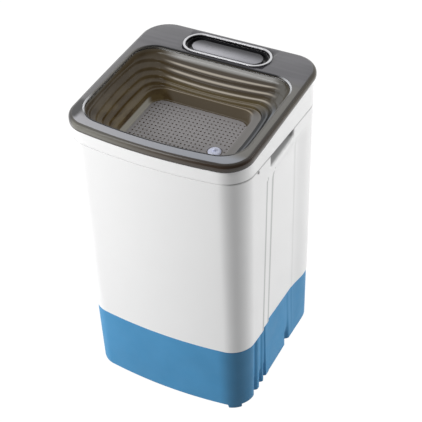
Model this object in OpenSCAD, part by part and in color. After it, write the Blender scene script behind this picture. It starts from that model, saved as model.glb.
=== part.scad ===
// A single-tub washing machine with a corrugated scrubbing basin in its hinged lid.
// The origin is on the floor, under the middle of the lid. +Z is up and the front faces -Y.

/* [Body] */
// Width between the side faces at the collar seam
body_w = 455; // [440:1:480]
// Straight depth, from the rear face to the line of the front corners
body_d = 452; // [440:1:480]
// How far the middle of the front swells out past its corners
front_bow = 20; // [8:1:26]
// How far each side swells out at mid depth
side_bow = 2; // [0:0.5:4]
// Radius of the two front corners
front_corner_r = 58; // [48:1:62]
// Radius of the two rear corners
rear_corner_r = 78; // [66:1:82]
// How far each wall leans in between the collar seam and the bottom edge
draft = 8; // [2:1:10]
// Wall thickness of the white and blue mouldings
wall = 3; // [2.6:0.1:3.4]

/* [Heights] */
// Height of the bottom edge above the floor
foot_h = 12; // [9:1:16]
// Height of the blue base at the front
base_h = 203; // [190:1:215]
// Height of the white cabinet between its two seams
cabinet_h = 545; // [520:1:580]
// Height of the collar above its seam at the front
collar_h = 40; // [38:1:46]
// Height of the lid's skirt
lid_h = 17; // [15:0.5:20]
// How much lower both seams lie at the rear than at the front
seam_drop = 38; // [20:1:42]

/* [Side mouldings] */
// Depth of the panel sunk into each side
panel_depth = 8; // [4:0.5:9]
// Depth of the upright grooves in the base
groove_depth = 10; // [6:0.5:11]
// Height of the side panel's upper end above the floor
panel_top = 700; // [660:1:704]

/* [Grips] */
// Length of each grip pocket along the side
grip_len = 132; // [110:1:140]
// Height of the lower edge of the grip pocket above the floor
grip_z = 713; // [709:1:716]
// How far the pocket reaches in from the side face
grip_depth = 24; // [20:0.5:26]

/* [Lid] */
// How far the lid's skirt stands out past the body
lid_over = 3; // [2:0.5:5]
// Wall thickness of the lid frame
lid_wall = 3; // [2.6:0.1:3.4]
// Width of the deck between the lid's side edge and the basin
deck_side = 24; // [20:1:28]
// Width of the deck in front of the basin
deck_front = 27; // [24:1:32]
// Depth of the deck behind the basin
deck_rear = 110; // [106:1:114]
// Corner radius of the basin's mouth
mouth_r = 55; // [48:1:60]

/* [Scrubbing basin] */
// Depth from the deck to the step round the floor recess
step_depth = 61; // [56:1:66]
// Depth of the floor recess below that step
recess_depth = 28; // [20:1:30]
// Half width of the floor recess
recess_half_w = 137; // [128:1:144]
// Corner radius of the floor recess
recess_r = 38; // [30:1:44]
// Wall thickness of the basin
basin_wall = 2.6; // [2.2:0.1:3]
// How far the ridges swell into the basin at mid length
ridge_swell = 20; // [10:1:22]
// Radius of the hole for the plug
plug_hole_r = 9; // [8:0.5:11]
// Spacing of the mat's holes across the basin
dot_pitch_x = 10.7; // [10:0.1:12]
// Spacing of the mat's holes from front to rear
dot_pitch_y = 12; // [11:0.1:13]
// Radius of the mat's holes
dot_r = 2.4; // [1.8:0.1:3]

/* [Control bay] */
// Length of the chromed ring
ring_len = 232; // [220:1:240]
// Width of the chromed ring
ring_w = 82; // [80:1:84]
// Width of the ring's flattened band
ring_band = 8; // [6:0.5:9]
// Half the thickness of that band
ring_wire_r = 2.4; // [2:0.1:2.8]
// Length of the silver control panel
panel_len = 186; // [172:1:192]
// Width of the silver control panel
panel_w = 45; // [42:1:48]
// Radius of the push keys
key_r = 8; // [6:0.5:9]
// Travel of the push keys
key_travel = 1.5; // [1:0.1:2]

/* [Wash tub] */
// Room between the tub's inside and each side face
tub_side_room = 37.5; // [36:0.5:48]
// Room between the tub's inside and the rear face, for the drain
tub_rear_room = 82; // [76:1:96]
// Corner radius of the tub
tub_r = 90; // [70:1:110]
// Wall thickness of the tub
tub_wall = 3.2; // [2.8:0.1:3.6]
// Height of the tub's floor above the machine's floor
tub_floor_z = 230; // [222:1:240]

/* [Drive] */
// Gap between the pulsator disc and the tub's nearest wall
pulsator_gap = 20; // [13:1:35]
// Radius of the pulsator shaft
shaft_r = 7; // [6:0.5:8]
// Pitch radius of the large pulley
pulley_r = 82; // [74:1:88]
// Pitch radius of the motor pulley
motor_pulley_r = 24; // [20:1:28]
// Distance from the pulsator shaft to the motor shaft
belt_centres = 158; // [152:1:164]
// Radius of the motor's casing
motor_r = 58; // [52:1:62]
// Running clearance of shafts in their bearings
run_gap = 0.05; // [0.02:0.01:0.09]

/* [Drain] */
// Outer radius of the drain outlet
spigot_r = 12.5; // [11:0.5:14]
// Free length of the drain outlet
spigot_len = 26; // [22:1:28]
// Inner radius of the cord gland
gland_bore_r = 4; // [3.5:0.1:4.5]
// Travel of the drain valve's plunger
valve_travel = 8; // [5:0.5:10]

/* [Hidden] */

slip = 0.3;            // gap between pieces that only lie beside each other
corner_steps = 6;      // straight steps in a corner of a lofted outline
front_steps = 7;       // points along the bowed front
rear_steps = 5;        // points along the rear edge
round_fn = 64;

// Heights of the seams at the front, and of the lid
seam_low = foot_h + base_h;
seam_high = seam_low + cabinet_h;
skirt_z = seam_high + collar_h;
deck_z = skirt_z + lid_h;

// Depth limits: the lid, bowed front and all, is centred on the origin
y_front = front_bow / 2 - body_d / 2;
y_rear = front_bow / 2 + body_d / 2;
side_start = y_front + front_corner_r;
side_end = y_rear - rear_corner_r;

// Each groove of the base: where it starts, the width of its flat and of its rear slope
lip_step = 2;
groove_sets = [[side_start + 3, 12, 9], [side_start + 34, 11, 9], [side_start + 62, 9, 6],
    [side_end - 118, 16, 12]];
groove_marks = [for (g = groove_sets) each [[g[0], 0], [g[0] + lip_step, 1],
    [g[0] + lip_step + g[1], 1], [g[0] + lip_step + g[1] + g[2], 0]]];
// The sunk side panel: two steps in, and one slope out again
panel_marks = [[side_start + 58, 0], [side_start + 60, 0.5], [side_start + 95, 0.5],
    [side_start + 97, 1], [side_end - 72, 1], [side_end - 56, 0]];
side_ys = sorted([for (m = concat(groove_marks, panel_marks)) m[0]]);

function sorted(v) = len(v) < 2 ? v :
    let (p = v[0], rest = [for (i = [1:len(v) - 1]) v[i]])
    concat(sorted([for (e = rest) if (e < p) e]), [p], sorted([for (e = rest) if (e >= p) e]));
function between(a, b, n) = [for (i = [1:n]) a + (b - a) * i / (n + 1)];
function arc(cx, cy, r, start) = [for (i = [0:corner_steps])
    let (a = start + 90 * i / corner_steps) [cx + r * cos(a), cy + r * sin(a)]];

// A rounded rectangle seen from above, anticlockwise, with swelling front, sides and rear.
// side holds a point [y, inset] for each place where a side face is bent.
function outline(hw, yf, yr, rf, rr, side, bow = 0, sbow = 0, rbow = 0) =
    let (
        yc = (yf + yr) / 2,
        hd = (yr - yf) / 2,
        raw = concat(
            [for (s = side) [hw - s[1], s[0]]],
            arc(hw - rr, yr - rr, rr, 0),
            [for (x = between(hw - rr, rr - hw, rear_steps)) [x, yr]],
            arc(rr - hw, yr - rr, rr, 90),
            [for (i = [len(side) - 1:-1:0]) [side[i][1] - hw, side[i][0]]],
            arc(rf - hw, yf + rf, rf, 180),
            [for (x = between(rf - hw, hw - rf, front_steps)) [x, yf]],
            arc(hw - rf, yf + rf, rf, 270)))
    [for (p = raw) let (
        s = (p.y - yf) / (yr - yf),
        a = abs(p.x) / hw,
        front = max(0, (yc - p.y) / hd),
        rear = max(0, (p.y - yc) / hd))
        [p.x + sign(p.x) * a * sbow * 4 * s * (1 - s),
         p.y - bow * front * (1 - a * a) + rbow * rear * (1 - a * a)]];

// Lean of the walls at a height, and the height of a seam at a depth
function lean(z) = draft * max(0, seam_high - z) / (seam_high - foot_h);
function seam(z, y) = z - seam_drop * min(1, max(0, (y - y_front) / body_d));

// One ring of the body's outside, grown by g. On a seam, drop is 1.
function body_ring(g, z, drop = 0, panel = 0, groove = 0) =
    let (
        i = g - lean(z - drop * seam_drop / 2),
        side = [for (y = side_ys) [y, panel * panel_depth * lookup(y, panel_marks)
            + groove * groove_depth * lookup(y, groove_marks)]])
    [for (p = outline(body_w / 2 + i, y_front - i, y_rear + i, front_corner_r + i,
        rear_corner_r + i, side, front_bow, side_bow))
        [p.x, p.y, drop > 0 ? seam(z, p.y) : z]];

// A ring of the same family with plain sides, for the collar and the lid
plain_sides = 5;
function plain_ring(g, z, drop = 0) =
    let (i = g - lean(z - drop * seam_drop / 2),
        side = [for (y = between(side_start, side_end, plain_sides)) [y, 0]])
    [for (p = outline(body_w / 2 + i, y_front - i, y_rear + i, front_corner_r + i,
        rear_corner_r + i, side, front_bow, side_bow))
        [p.x, p.y, drop > 0 ? seam(z, p.y) : z]];

// The basin's mouth, and rings that shrink from it (u = 0) to the floor recess (u = 1)
mouth_half_w = body_w / 2 + lid_over - deck_side;
mouth_front = y_front - lid_over + deck_front;
mouth_rear = y_rear + lid_over - deck_rear;
mouth_bow = front_bow;
recess_front = mouth_front + 38;
recess_rear = mouth_rear - 79;
function mix(a, b, u) = a + (b - a) * u;
function basin_ring(u, z, swell = 0, g = 0) =
    let (
        hw = mix(mouth_half_w, recess_half_w, u) + g,
        yf = mix(mouth_front, recess_front, u) - g,
        yr = mix(mouth_rear, recess_rear, u) + g,
        r = mix(mouth_r, recess_r, u) + g,
        side = [for (y = between(yf + r, yr - r, plain_sides)) [y, 0]])
    [for (p = outline(hw, yf, yr, r, r, side, mouth_bow * (1 - u) - swell * 0.5,
        -swell * 0.6, -swell)) [p.x, p.y, z]];

// Joins rings of equal length into one solid. A closed skin runs back to its first ring, and an
// open one is capped with a fan of triangles at each end.
function middle(ring) = [for (k = [0:2]) (min([for (p = ring) p[k]]) + max([for (p = ring) p[k]])) / 2];
module skin(rings, closed = false) {
    n = len(rings[0]);
    m = len(rings);
    last = closed ? m - 1 : m - 2;
    sides = [for (i = [0:last], j = [0:n - 1]) let (
        a = i * n + j,
        b = i * n + (j + 1) % n,
        c = ((i + 1) % m) * n + (j + 1) % n,
        d = ((i + 1) % m) * n + j)
        each [[a, d, c], [a, c, b]]];
    caps = closed ? [] : [for (j = [0:n - 1]) let (k = (j + 1) % n, top = (m - 1) * n)
        each [[m * n, j, k], [m * n + 1, top + k, top + j]]];
    ends = closed ? [] : [middle(rings[0]), middle(rings[m - 1])];
    polyhedron(concat([for (r = rings) each r], ends), concat(sides, caps));
}

// A slot shape with round ends, long in X
module slot(length, width, height, fn = round_fn) {
    end = (length - width) / 2;
    for (s = [-1, 1]) translate([s * end, 0, 0]) cylinder(h = height, r = width / 2, $fn = fn);
    translate([-end, -width / 2, 0]) cube([2 * end, width, height]);
}

module tube(r_out, r_in, height, fn = round_fn) {
    difference() {
        cylinder(h = height, r = r_out, $fn = fn);
        translate([0, 0, -1]) cylinder(h = height + 2, r = r_in, $fn = fn);
    }
}

// Mirrored copies at both sides
module both_sides() {
    children();
    mirror([1, 0, 0]) children();
}

// Height of the base's floor, places of the feet and of the posts that carry the tub
floor_t = 4;
floor_z = foot_h + 12;
foot_r = 30;
foot_x = body_w / 2 - 47;
foot_front = y_front + 47;
foot_rear = y_rear - 58;
foot_spots = [for (x = [-foot_x, foot_x], y = [foot_front, foot_rear]) [x, y]];
tub_front = mouth_front - 4;
tub_rear = y_rear - tub_rear_room;
tub_d = tub_rear - tub_front;
tub_half_w = body_w / 2 - tub_side_room;
shaft_y = (tub_front + tub_rear) / 2;
pulsator_r = min(tub_half_w, tub_d / 2) - pulsator_gap;
post_r = 14;
post_spots = [for (x = [-1, 1], y = [-1, 1])
    [x * (tub_half_w - 30), shaft_y + y * (tub_d / 2 - 50)]];

// Rear face of the base at a height
base_inset = 1.5;
function base_rear(z) = y_rear - lean(z) - base_inset;
outlet_z = 74;
bay_half = 30;
bay_depth = 26;
cover_z = 44;
cover_w = 150;
cover_h = 104;
cover_t = 2.5;
cover_lip = 8;
drain_x = -(cover_w / 2 + bay_half + wall + 2);
outlet_x = drain_x;
gland_x = -drain_x;

module base() {
    top_lip = 12;
    lip_gap = wall + slip;
    lip_t = 2.2;
    bay_y = base_rear(outlet_z) - bay_depth;
    vent_len = 90;
    vent_w = 8;
    color("steelblue") difference() {
        union() {
            // The wall, with the lip that carries the cabinet, and the floor in it
            skin([
                body_ring(-base_inset - wall, foot_h, 0, 0.25, 1),
                body_ring(-base_inset - 1, foot_h, 0, 0.25, 1),
                body_ring(-base_inset, foot_h + 1.5, 0, 0.25, 1),
                body_ring(-base_inset, seam_low, 1, 1, 1),
                body_ring(-lip_gap, seam_low + 1, 1, 1, 0),
                body_ring(-lip_gap, seam_low + top_lip, 1, 1, 0),
                body_ring(-lip_gap - lip_t, seam_low + top_lip, 1, 1, 0),
                body_ring(-lip_gap - lip_t, seam_low + 1 + wall, 1, 1, 0),
                body_ring(-lip_gap - lip_t, seam_low + wall, 1, 1, 1)
            ], true);
            translate([0, 0, floor_z]) linear_extrude(floor_t)
                polygon([for (p = body_ring(-base_inset - wall / 2, floor_z, 0, 0.25, 1)) [p.x, p.y]]);
            // Posts under the tub and sockets over the feet
            for (p = post_spots) translate([p.x, p.y, floor_z + floor_t / 2])
                cylinder(h = tub_floor_z - tub_wall - floor_z - floor_t / 2, r = post_r, $fn = round_fn);
            for (p = foot_spots) translate([p.x, p.y, floor_z + floor_t / 2])
                cylinder(h = 14, r = 12, $fn = round_fn);
            // Walls of the bays round the drain outlet and the cord gland
            for (x = [outlet_x, gland_x]) translate([x - bay_half - wall, bay_y - wall, floor_z + floor_t / 2])
                cube([2 * (bay_half + wall), base_rear(foot_h) - wall / 2 - bay_y + wall,
                    outlet_z + bay_half + wall - floor_z - floor_t / 2]);
        }
        // Bays open to the rear
        for (x = [outlet_x, gland_x]) translate([x - bay_half, bay_y, floor_z + floor_t])
            cube([2 * bay_half, bay_depth + 20, outlet_z + bay_half - floor_z - floor_t]);
        translate([outlet_x, bay_y + 1, outlet_z]) rotate([90, 0, 0])
            cylinder(h = wall + 2, r = spigot_r + slip, $fn = round_fn);
        translate([gland_x, bay_y + 1, outlet_z]) rotate([90, 0, 0])
            cylinder(h = wall + 2, r = gland_r + slip, $fn = round_fn);
        // Service opening in the rear wall
        translate([-cover_w / 2 + cover_lip, base_rear(cover_z) - 3 * wall, cover_z + cover_lip])
            cube([cover_w - 2 * cover_lip, 6 * wall, cover_h - 2 * cover_lip]);
        // Cooling slots under the motor
        for (i = [-3:3]) translate([(2 * i - 0.5) * vent_w, motor_y - motor_r - vent_len, floor_z - 1])
            cube([vent_w, vent_len, floor_t + 2]);
        // Holes of the cover's screws
        on_rear(cover_z) for (s = cover_screw_spots) translate([s.x, -2 * wall, s.y]) rotate([-90, 0, 0])
            cylinder(h = 4 * wall, r = screw_shank_r + 0.1, $fn = round_fn);
        // Screw holes of the feet
        for (p = foot_spots) translate([p.x, p.y, floor_z - 1])
            cylinder(h = 20, r = foot_stem_r + 0.1, $fn = round_fn);
    }
}

foot_stem_r = 4;
module feet() {
    pad_h = foot_h - 1;
    neck_r = 22;
    color("steelblue") for (p = foot_spots) translate([p.x, p.y, 0])
        rotate_extrude($fn = round_fn) polygon([[0, 0], [foot_r - 5, 0], [foot_r - 1, 3], [foot_r, pad_h],
            [neck_r, pad_h], [neck_r, floor_z], [foot_stem_r, floor_z], [foot_stem_r, floor_z + floor_t + 10],
            [0, floor_z + floor_t + 10]]);
}

// The grip pocket in side view, grown by e: its top follows the collar seam
grip_front = side_start + 88;
grip_rear = grip_front + grip_len;
module grip_shape(e, top) {
    polygon([[grip_front + 5 - e, grip_z - e], [grip_rear - 20 + e, grip_z - e], [grip_rear + e, grip_z + 9],
        [grip_rear + e, seam(seam_high, grip_rear) - top], [grip_front - e, seam(seam_high, grip_front) - top],
        [grip_front - e, grip_z + 7]]);
}
module along_x(x, length) {
    translate([x, 0, 0]) rotate([90, 0, 90]) linear_extrude(length) children();
}
side_x = body_w / 2;
screw_y = side_start + 24;
screw_drop = 7;
screw_rear_x = side_x - rear_corner_r;
collar_lip = 12;

module cabinet() {
    pocket_wall = 2.4;
    pocket_top = pocket_wall + 0.8;
    color("whitesmoke") difference() {
        union() {
            skin([
                body_ring(0, seam_low, 1, 1),
                body_ring(0, panel_top - 14, 0, 1),
                body_ring(0, panel_top, 0, 0),
                body_ring(0, seam_high, 1, 0),
                body_ring(-wall, seam_high, 1, 0),
                body_ring(-wall, panel_top, 0, 0),
                body_ring(-wall, panel_top - 14, 0, 1),
                body_ring(-wall, seam_low + 1 + slip, 1, 1)
            ], true);
            both_sides() along_x(side_x - grip_depth - pocket_wall, grip_depth + pocket_wall - wall / 2)
                grip_shape(pocket_wall, pocket_top - pocket_wall);
        }
        both_sides() {
            along_x(side_x - grip_depth, grip_depth + 2 * wall) grip_shape(0, pocket_top);
            along_x(side_x - 2 * wall, 4 * wall) grip_shape(0, -1);
        }
        for (s = collar_screw_spots) place_screw(s) translate([0, 0, -6])
            cylinder(h = 12, r = screw_shank_r + 0.2, $fn = round_fn);
    }
}

// Small screws that hold the collar: two in the sides and two at the rear
screw_shank_r = 1.6;
screw_head_r = 3.6;
collar_screw_spots = [
    [side_x + side_bow * 0.4, screw_y, seam(seam_high, screw_y) - screw_drop, 90, 0],
    [-side_x - side_bow * 0.4, screw_y, seam(seam_high, screw_y) - screw_drop, -90, 0],
    [screw_rear_x, y_rear, seam_high - seam_drop - screw_drop, 0, -90],
    [-screw_rear_x, y_rear, seam_high - seam_drop - screw_drop, 0, -90]];
module place_screw(s) {
    translate([s[0], s[1], s[2]]) rotate([s[4], s[3], 0]) children();
}
module collar_screws() {
    color("darkslategray") for (s = collar_screw_spots) place_screw(s) difference() {
        union() {
            translate([0, 0, slip]) cylinder(h = 1.8, r = screw_head_r, $fn = round_fn);
            translate([0, 0, -7]) cylinder(h = 7.5, r = screw_shank_r, $fn = round_fn);
        }
        for (a = [0, 90]) rotate([0, 0, a]) translate([-2, -0.4, slip + 1.1]) cube([4, 0.8, 2]);
    }
}

// The hinge line, just inside the lid's rear skirt
hinge_y = y_rear - 3.6;
hinge_z = skirt_z - 4.7;
hinge_pin_r = 2.4;
knuckle_r = 4.2;
arm_reach = y_rear + lid_over - 0.4 - hinge_y;
arm_h = skirt_z + 1 - hinge_z;
knuckle_swing = norm([arm_reach, arm_h]) + slip;
hinge_x = side_x - rear_corner_r;
knuckle_len = 22;
ear_len = 8;
rim_z = deck_z - lid_wall - slip;
shelf_z = skirt_z + 3;
collar_gap = 6;

module top_collar() {
    lip_gap = wall + 2 * slip;
    lip_t = 2.6;
    foot_z = seam_high + slip;
    funnel_z = seam_high - 12;
    color("whitesmoke") difference() {
        union() {
            skin([
                plain_ring(0, foot_z, 1),
                plain_ring(0, skirt_z - 1.8),
                plain_ring(-1.2, skirt_z - slip),
                plain_ring(-4, skirt_z - slip),
                plain_ring(-4, rim_z),
                plain_ring(-4 - wall, rim_z),
                plain_ring(-5 - wall, shelf_z),
                basin_ring(0, shelf_z, 0, collar_gap),
                basin_ring(0, shelf_z - 6, 0, collar_gap - 1),
                basin_ring(0.2, funnel_z, 0, collar_gap),
                basin_ring(0.2, funnel_z, 0, collar_gap + wall),
                basin_ring(0, shelf_z - 6 - wall, 0, collar_gap + wall),
                plain_ring(-6 - wall, shelf_z - wall - 3),
                plain_ring(-lip_gap - lip_t, skirt_z - 8),
                plain_ring(-lip_gap - lip_t, seam_high - collar_lip, 1),
                plain_ring(-lip_gap, seam_high - collar_lip, 1),
                plain_ring(-lip_gap, foot_z, 1)
            ], true);
            // Hinge ears on the rear wall
            both_sides() for (x = [hinge_x - knuckle_len / 2 - slip - ear_len, hinge_x + knuckle_len / 2 + slip])
                translate([x, hinge_y, hinge_z]) rotate([90, 0, 90]) {
                    cylinder(h = ear_len, r = knuckle_r, $fn = round_fn);
                    translate([-6, -knuckle_r, 0]) cube([6, 2 * knuckle_r, ear_len]);
                }
        }
        // Room for the lid's swinging knuckles, and the bores of the pins
        both_sides() {
            translate([hinge_x - knuckle_len / 2 - slip, hinge_y, hinge_z]) rotate([90, 0, 90])
                cylinder(h = knuckle_len + 2 * slip, r = knuckle_swing, $fn = round_fn);
            translate([hinge_x - knuckle_len / 2 - ear_len - 2, hinge_y, hinge_z]) rotate([90, 0, 90])
                cylinder(h = knuckle_len + 2 * ear_len + 4, r = hinge_pin_r, $fn = round_fn);
            // The lip stands clear of the grip pocket
            along_x(side_x - grip_depth, grip_depth + 2 * wall) polygon([
                [grip_front - 4, grip_z - wall], [grip_rear + 4, grip_z - wall],
                [grip_rear + 4, seam(seam_high, grip_rear + 4) - slip],
                [grip_front - 4, seam(seam_high, grip_front - 4) - slip]]);
        }
        // Seat of the control housing
        translate([0, bay_y, shelf_z - 3 * wall]) slot(housing_len + 2 * slip, housing_w + 2 * slip, 5 * wall);
    }
}

module hinge_pins() {
    color("silver") both_sides()
        translate([hinge_x - knuckle_len / 2 - ear_len + 1, hinge_y, hinge_z]) rotate([90, 0, 90])
            cylinder(h = knuckle_len + 2 * ear_len - 2, r = hinge_pin_r, $fn = round_fn);
}

// The oval bay in the rear deck, from outside in: ring, lid's hole, housing, panel
bay_y = (mouth_rear + y_rear + lid_over) / 2 - 7;
hole_len = ring_len - 6;
hole_w = ring_w - 6;
housing_len = ring_len - 16;
housing_w = ring_w - 16;
housing_top = deck_z - 2;
tray_z = deck_z - 12;

module lid_frame() {
    edge = 5;
    color([0.3, 0.3, 0.32, 0.8]) difference() {
        union() {
            skin([
                plain_ring(lid_over, skirt_z),
                plain_ring(lid_over, deck_z - edge),
                plain_ring(lid_over - edge * (1 - cos(45)), deck_z - edge * (1 - sin(45))),
                plain_ring(lid_over - edge, deck_z),
                basin_ring(0, deck_z, 0, 6),
                basin_ring(0, deck_z - 1, 0, 3),
                basin_ring(0, deck_z - lid_wall, 0, 3),
                plain_ring(lid_over - edge, deck_z - lid_wall),
                plain_ring(lid_over - lid_wall, deck_z - edge),
                plain_ring(lid_over - lid_wall, skirt_z)
            ], true);
            // Hinge knuckles, carried down from the rear skirt
            both_sides() translate([hinge_x - knuckle_len / 2, hinge_y, hinge_z]) rotate([90, 0, 90]) {
                cylinder(h = knuckle_len, r = knuckle_r, $fn = round_fn);
                cube([arm_reach, arm_h, knuckle_len]);
            }
        }
        both_sides() translate([hinge_x - knuckle_len / 2 - 1, hinge_y, hinge_z]) rotate([90, 0, 90])
            cylinder(h = knuckle_len + 2, r = hinge_pin_r + run_gap, $fn = round_fn);
        translate([0, bay_y, deck_z - 2 * lid_wall]) slot(hole_len, hole_w, 3 * lid_wall);
    }
}

module ring_section() {
    flat = ring_band / 2 - ring_wire_r;
    for (s = [-1, 1]) translate([s * flat, 0]) circle(r = ring_wire_r, $fn = 32);
    square([2 * flat, 2 * ring_wire_r], center = true);
}
module chrome_ring() {
    mid_w = ring_w - ring_band;
    end = (ring_len - ring_w) / 2;
    leg_t = 2;
    leg_h = ring_wire_r + slip + lid_wall;
    color("gainsboro") translate([0, bay_y, deck_z + slip + ring_wire_r]) {
        for (s = [-1, 1]) translate([s * end, 0, 0]) rotate([0, 0, s * 90 - 180])
            rotate_extrude(angle = 180, $fn = 96) {
                translate([mid_w / 2, 0]) ring_section();
                translate([hole_w / 2 - leg_t - slip, -leg_h]) square([leg_t, leg_h]);
            }
        for (s = [-1, 1]) {
            translate([-end, s * mid_w / 2, 0]) rotate([90, 0, 90]) linear_extrude(2 * end) ring_section();
            translate([-end, s * (hole_w / 2 - leg_t / 2 - slip) - leg_t / 2, -leg_h]) cube([2 * end, leg_t, leg_h]);
        }
    }
}

// Profile of the basin from its flange down: share of the way in, height below the deck, swell
ridge_spots = [[0.13, 24, 1], [0.33, 36, 1], [0.52, 46, 0.9], [0.72, 54, 0.6]];
function ridge_rings(g) = [for (k = [0:3]) let (r = ridge_spots[k], d = r[1] * step_depth / 61)
    each [
        basin_ring(r[0], deck_z - d + 0.8, ridge_swell * r[2], g),
        basin_ring(r[0] + 0.03, deck_z - d - 1.6, ridge_swell * r[2], g),
        basin_ring(r[0] + 0.055, deck_z - d - 6.2, ridge_swell * r[2] * 0.92, g),
        basin_ring(r[0] + 0.1, deck_z - d - 8.4, ridge_swell * r[2] * 0.8, g)
    ]];
floor_top = deck_z - step_depth - recess_depth;

module scrub_basin() {
    w = basin_wall;
    inside = concat(
        [basin_ring(0, deck_z - 1, 0), basin_ring(0.01, deck_z - 8, 0), basin_ring(0.04, deck_z - 17, 5)],
        ridge_rings(0),
        [basin_ring(0.95, deck_z - step_depth + 0.5, 0), basin_ring(1, deck_z - step_depth - 2, 0),
         basin_ring(1.02, floor_top + 5, 0), basin_ring(1.06, floor_top, 0)]);
    outside = concat(
        [basin_ring(0, deck_z - 1, 0, w), basin_ring(0.01, deck_z - 10, 0, w), basin_ring(0.04, deck_z - 20, 5, w)],
        [for (r = ridge_rings(w)) [for (p = r) [p.x, p.y, p.z - w * 0.6]]],
        [basin_ring(0.95, deck_z - step_depth - 2, 0, w), basin_ring(1, deck_z - step_depth - 4, 0, w),
         basin_ring(1.02, floor_top - w, 0, w)]);
    color([0.32, 0.27, 0.17, 0.75]) difference() {
        skin(concat([for (i = [len(outside) - 1:-1:0]) outside[i]], inside));
        translate([plug_x, plug_y, floor_top - 10]) cylinder(h = 20, r = plug_hole_r, $fn = round_fn);
    }
}

plug_x = recess_half_w - 41;
plug_y = recess_front + 65;
mat_t = 1.6;
mat_gap = 5;
plug_flange_r = plug_hole_r + 7;
mat_hole_r = plug_flange_r + 2.5;
dot_columns = 11;
dot_rows = 6.5;
module scrub_floor() {
    ring = basin_ring(1.06, 0, 0, -mat_gap);
    mid_y = (recess_front + recess_rear) / 2;
    dots = [for (i = [-dot_columns:dot_columns], j = [-dot_rows:dot_rows])
        let (spot = [i * dot_pitch_x, mid_y + j * dot_pitch_y])
        if (norm(spot - [plug_x, plug_y]) > mat_hole_r + dot_r + 1.5) spot];
    color("darkgray") translate([0, 0, floor_top]) linear_extrude(mat_t) difference() {
        polygon([for (p = ring) [p.x, p.y]]);
        translate([plug_x, plug_y]) circle(r = mat_hole_r, $fn = round_fn);
        for (d = dots) translate(d) circle(r = dot_r, $fn = 24);
    }
}

module basin_plug() {
    stem_r = plug_hole_r - 0.4;
    color("lavender") translate([plug_x, plug_y, floor_top]) difference() {
        rotate_extrude($fn = round_fn) polygon([[0, -basin_wall - 3], [stem_r - 2, -basin_wall - 3], [stem_r, -1],
            [stem_r, 0.1], [plug_flange_r, 0.1], [plug_flange_r, 2.5], [plug_flange_r - 3, 5], [4, 5.5],
            [4, 10], [3, 11], [0, 11]]);
        translate([0, 6, 8]) rotate([90, 0, 0]) cylinder(h = 12, r = 1.2, $fn = round_fn);
    }
}

key_spots = [-48, 0, 48];
key_gap = 0.4;
panel_top_z = deck_z - 3;

module control_housing() {
    lip = 4;
    color([0.1, 0.1, 0.1]) translate([0, bay_y, 0]) difference() {
        union() {
            translate([0, 0, shelf_z - 22]) slot(housing_len, housing_w, housing_top - shelf_z + 22);
            translate([0, 0, shelf_z + slip]) slot(housing_len + 2 * lip, housing_w + 2 * lip, 1.6);
        }
        translate([0, 0, tray_z]) slot(housing_len - 5, housing_w - 5, 30);
        translate([0, 0, shelf_z - 24]) slot(housing_len - 5, housing_w - 5, tray_z - 2.5 - shelf_z + 24);
        for (x = key_spots) translate([x, 0, tray_z - 5]) cylinder(h = 10, r = 3.4, $fn = round_fn);
    }
}

module control_panel() {
    color("silver") translate([0, bay_y, 0]) difference() {
        translate([0, 0, tray_z + slip]) slot(panel_len, panel_w, panel_top_z - tray_z - slip);
        translate([0, 0, tray_z - 1]) slot(panel_len - 4, panel_w - 4, panel_top_z - tray_z - 1.4);
        for (x = key_spots) translate([x, 0, tray_z]) cylinder(h = 20, r = key_r + key_gap, $fn = round_fn);
    }
}

module push_key(x) {
    skirt = 3;
    color("silver") translate([x, bay_y, 0]) {
        translate([0, 0, panel_top_z - 3]) cylinder(h = 3, r = key_r, $fn = round_fn);
        translate([0, 0, board_z + 1.6 + key_travel + 0.2])
            cylinder(h = panel_top_z - board_z - 1.6 - key_travel - skirt, r = skirt, $fn = round_fn);
    }
}
module start_key() push_key(key_spots[0]);
module program_key() push_key(key_spots[1]);
module drain_key() push_key(key_spots[2]);

board_z = shelf_z - 14;
module control_board() {
    color("darkgreen") translate([0, bay_y, board_z]) {
        slot(housing_len - 5.6, housing_w - 5.6, 1.6);
        for (x = [-70, -24, 24, 70]) translate([x - 8, -10, -8]) cube([16, 20, 8]);
    }
}

// The tub: a straight wall, a dished floor with holes, and a rim under the collar
tub_rim_z = seam_high - 12 - slip;
tub_rim = 9;
gasket_t = 3;
module tub_plan(g) {
    hw = tub_half_w + g;
    hd = tub_d / 2 + g;
    r = tub_r + g;
    translate([0, shaft_y]) union() {
        for (x = [-1, 1], y = [-1, 1]) translate([x * (hw - r), y * (hd - r)]) circle(r = r, $fn = 96);
        square([2 * hw, 2 * (hd - r)], center = true);
        square([2 * (hw - r), 2 * hd], center = true);
    }
}

drain_y = tub_rear - 62;
drain_hole_r = 16;
filter_w = 96;
filter_h = 150;
filter_z = 430;
filter_t = 16;
rib_r = 7;
housing_flange_r = 48;
housing_r = 26;
tub_top = tub_rim_z - gasket_t;

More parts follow.
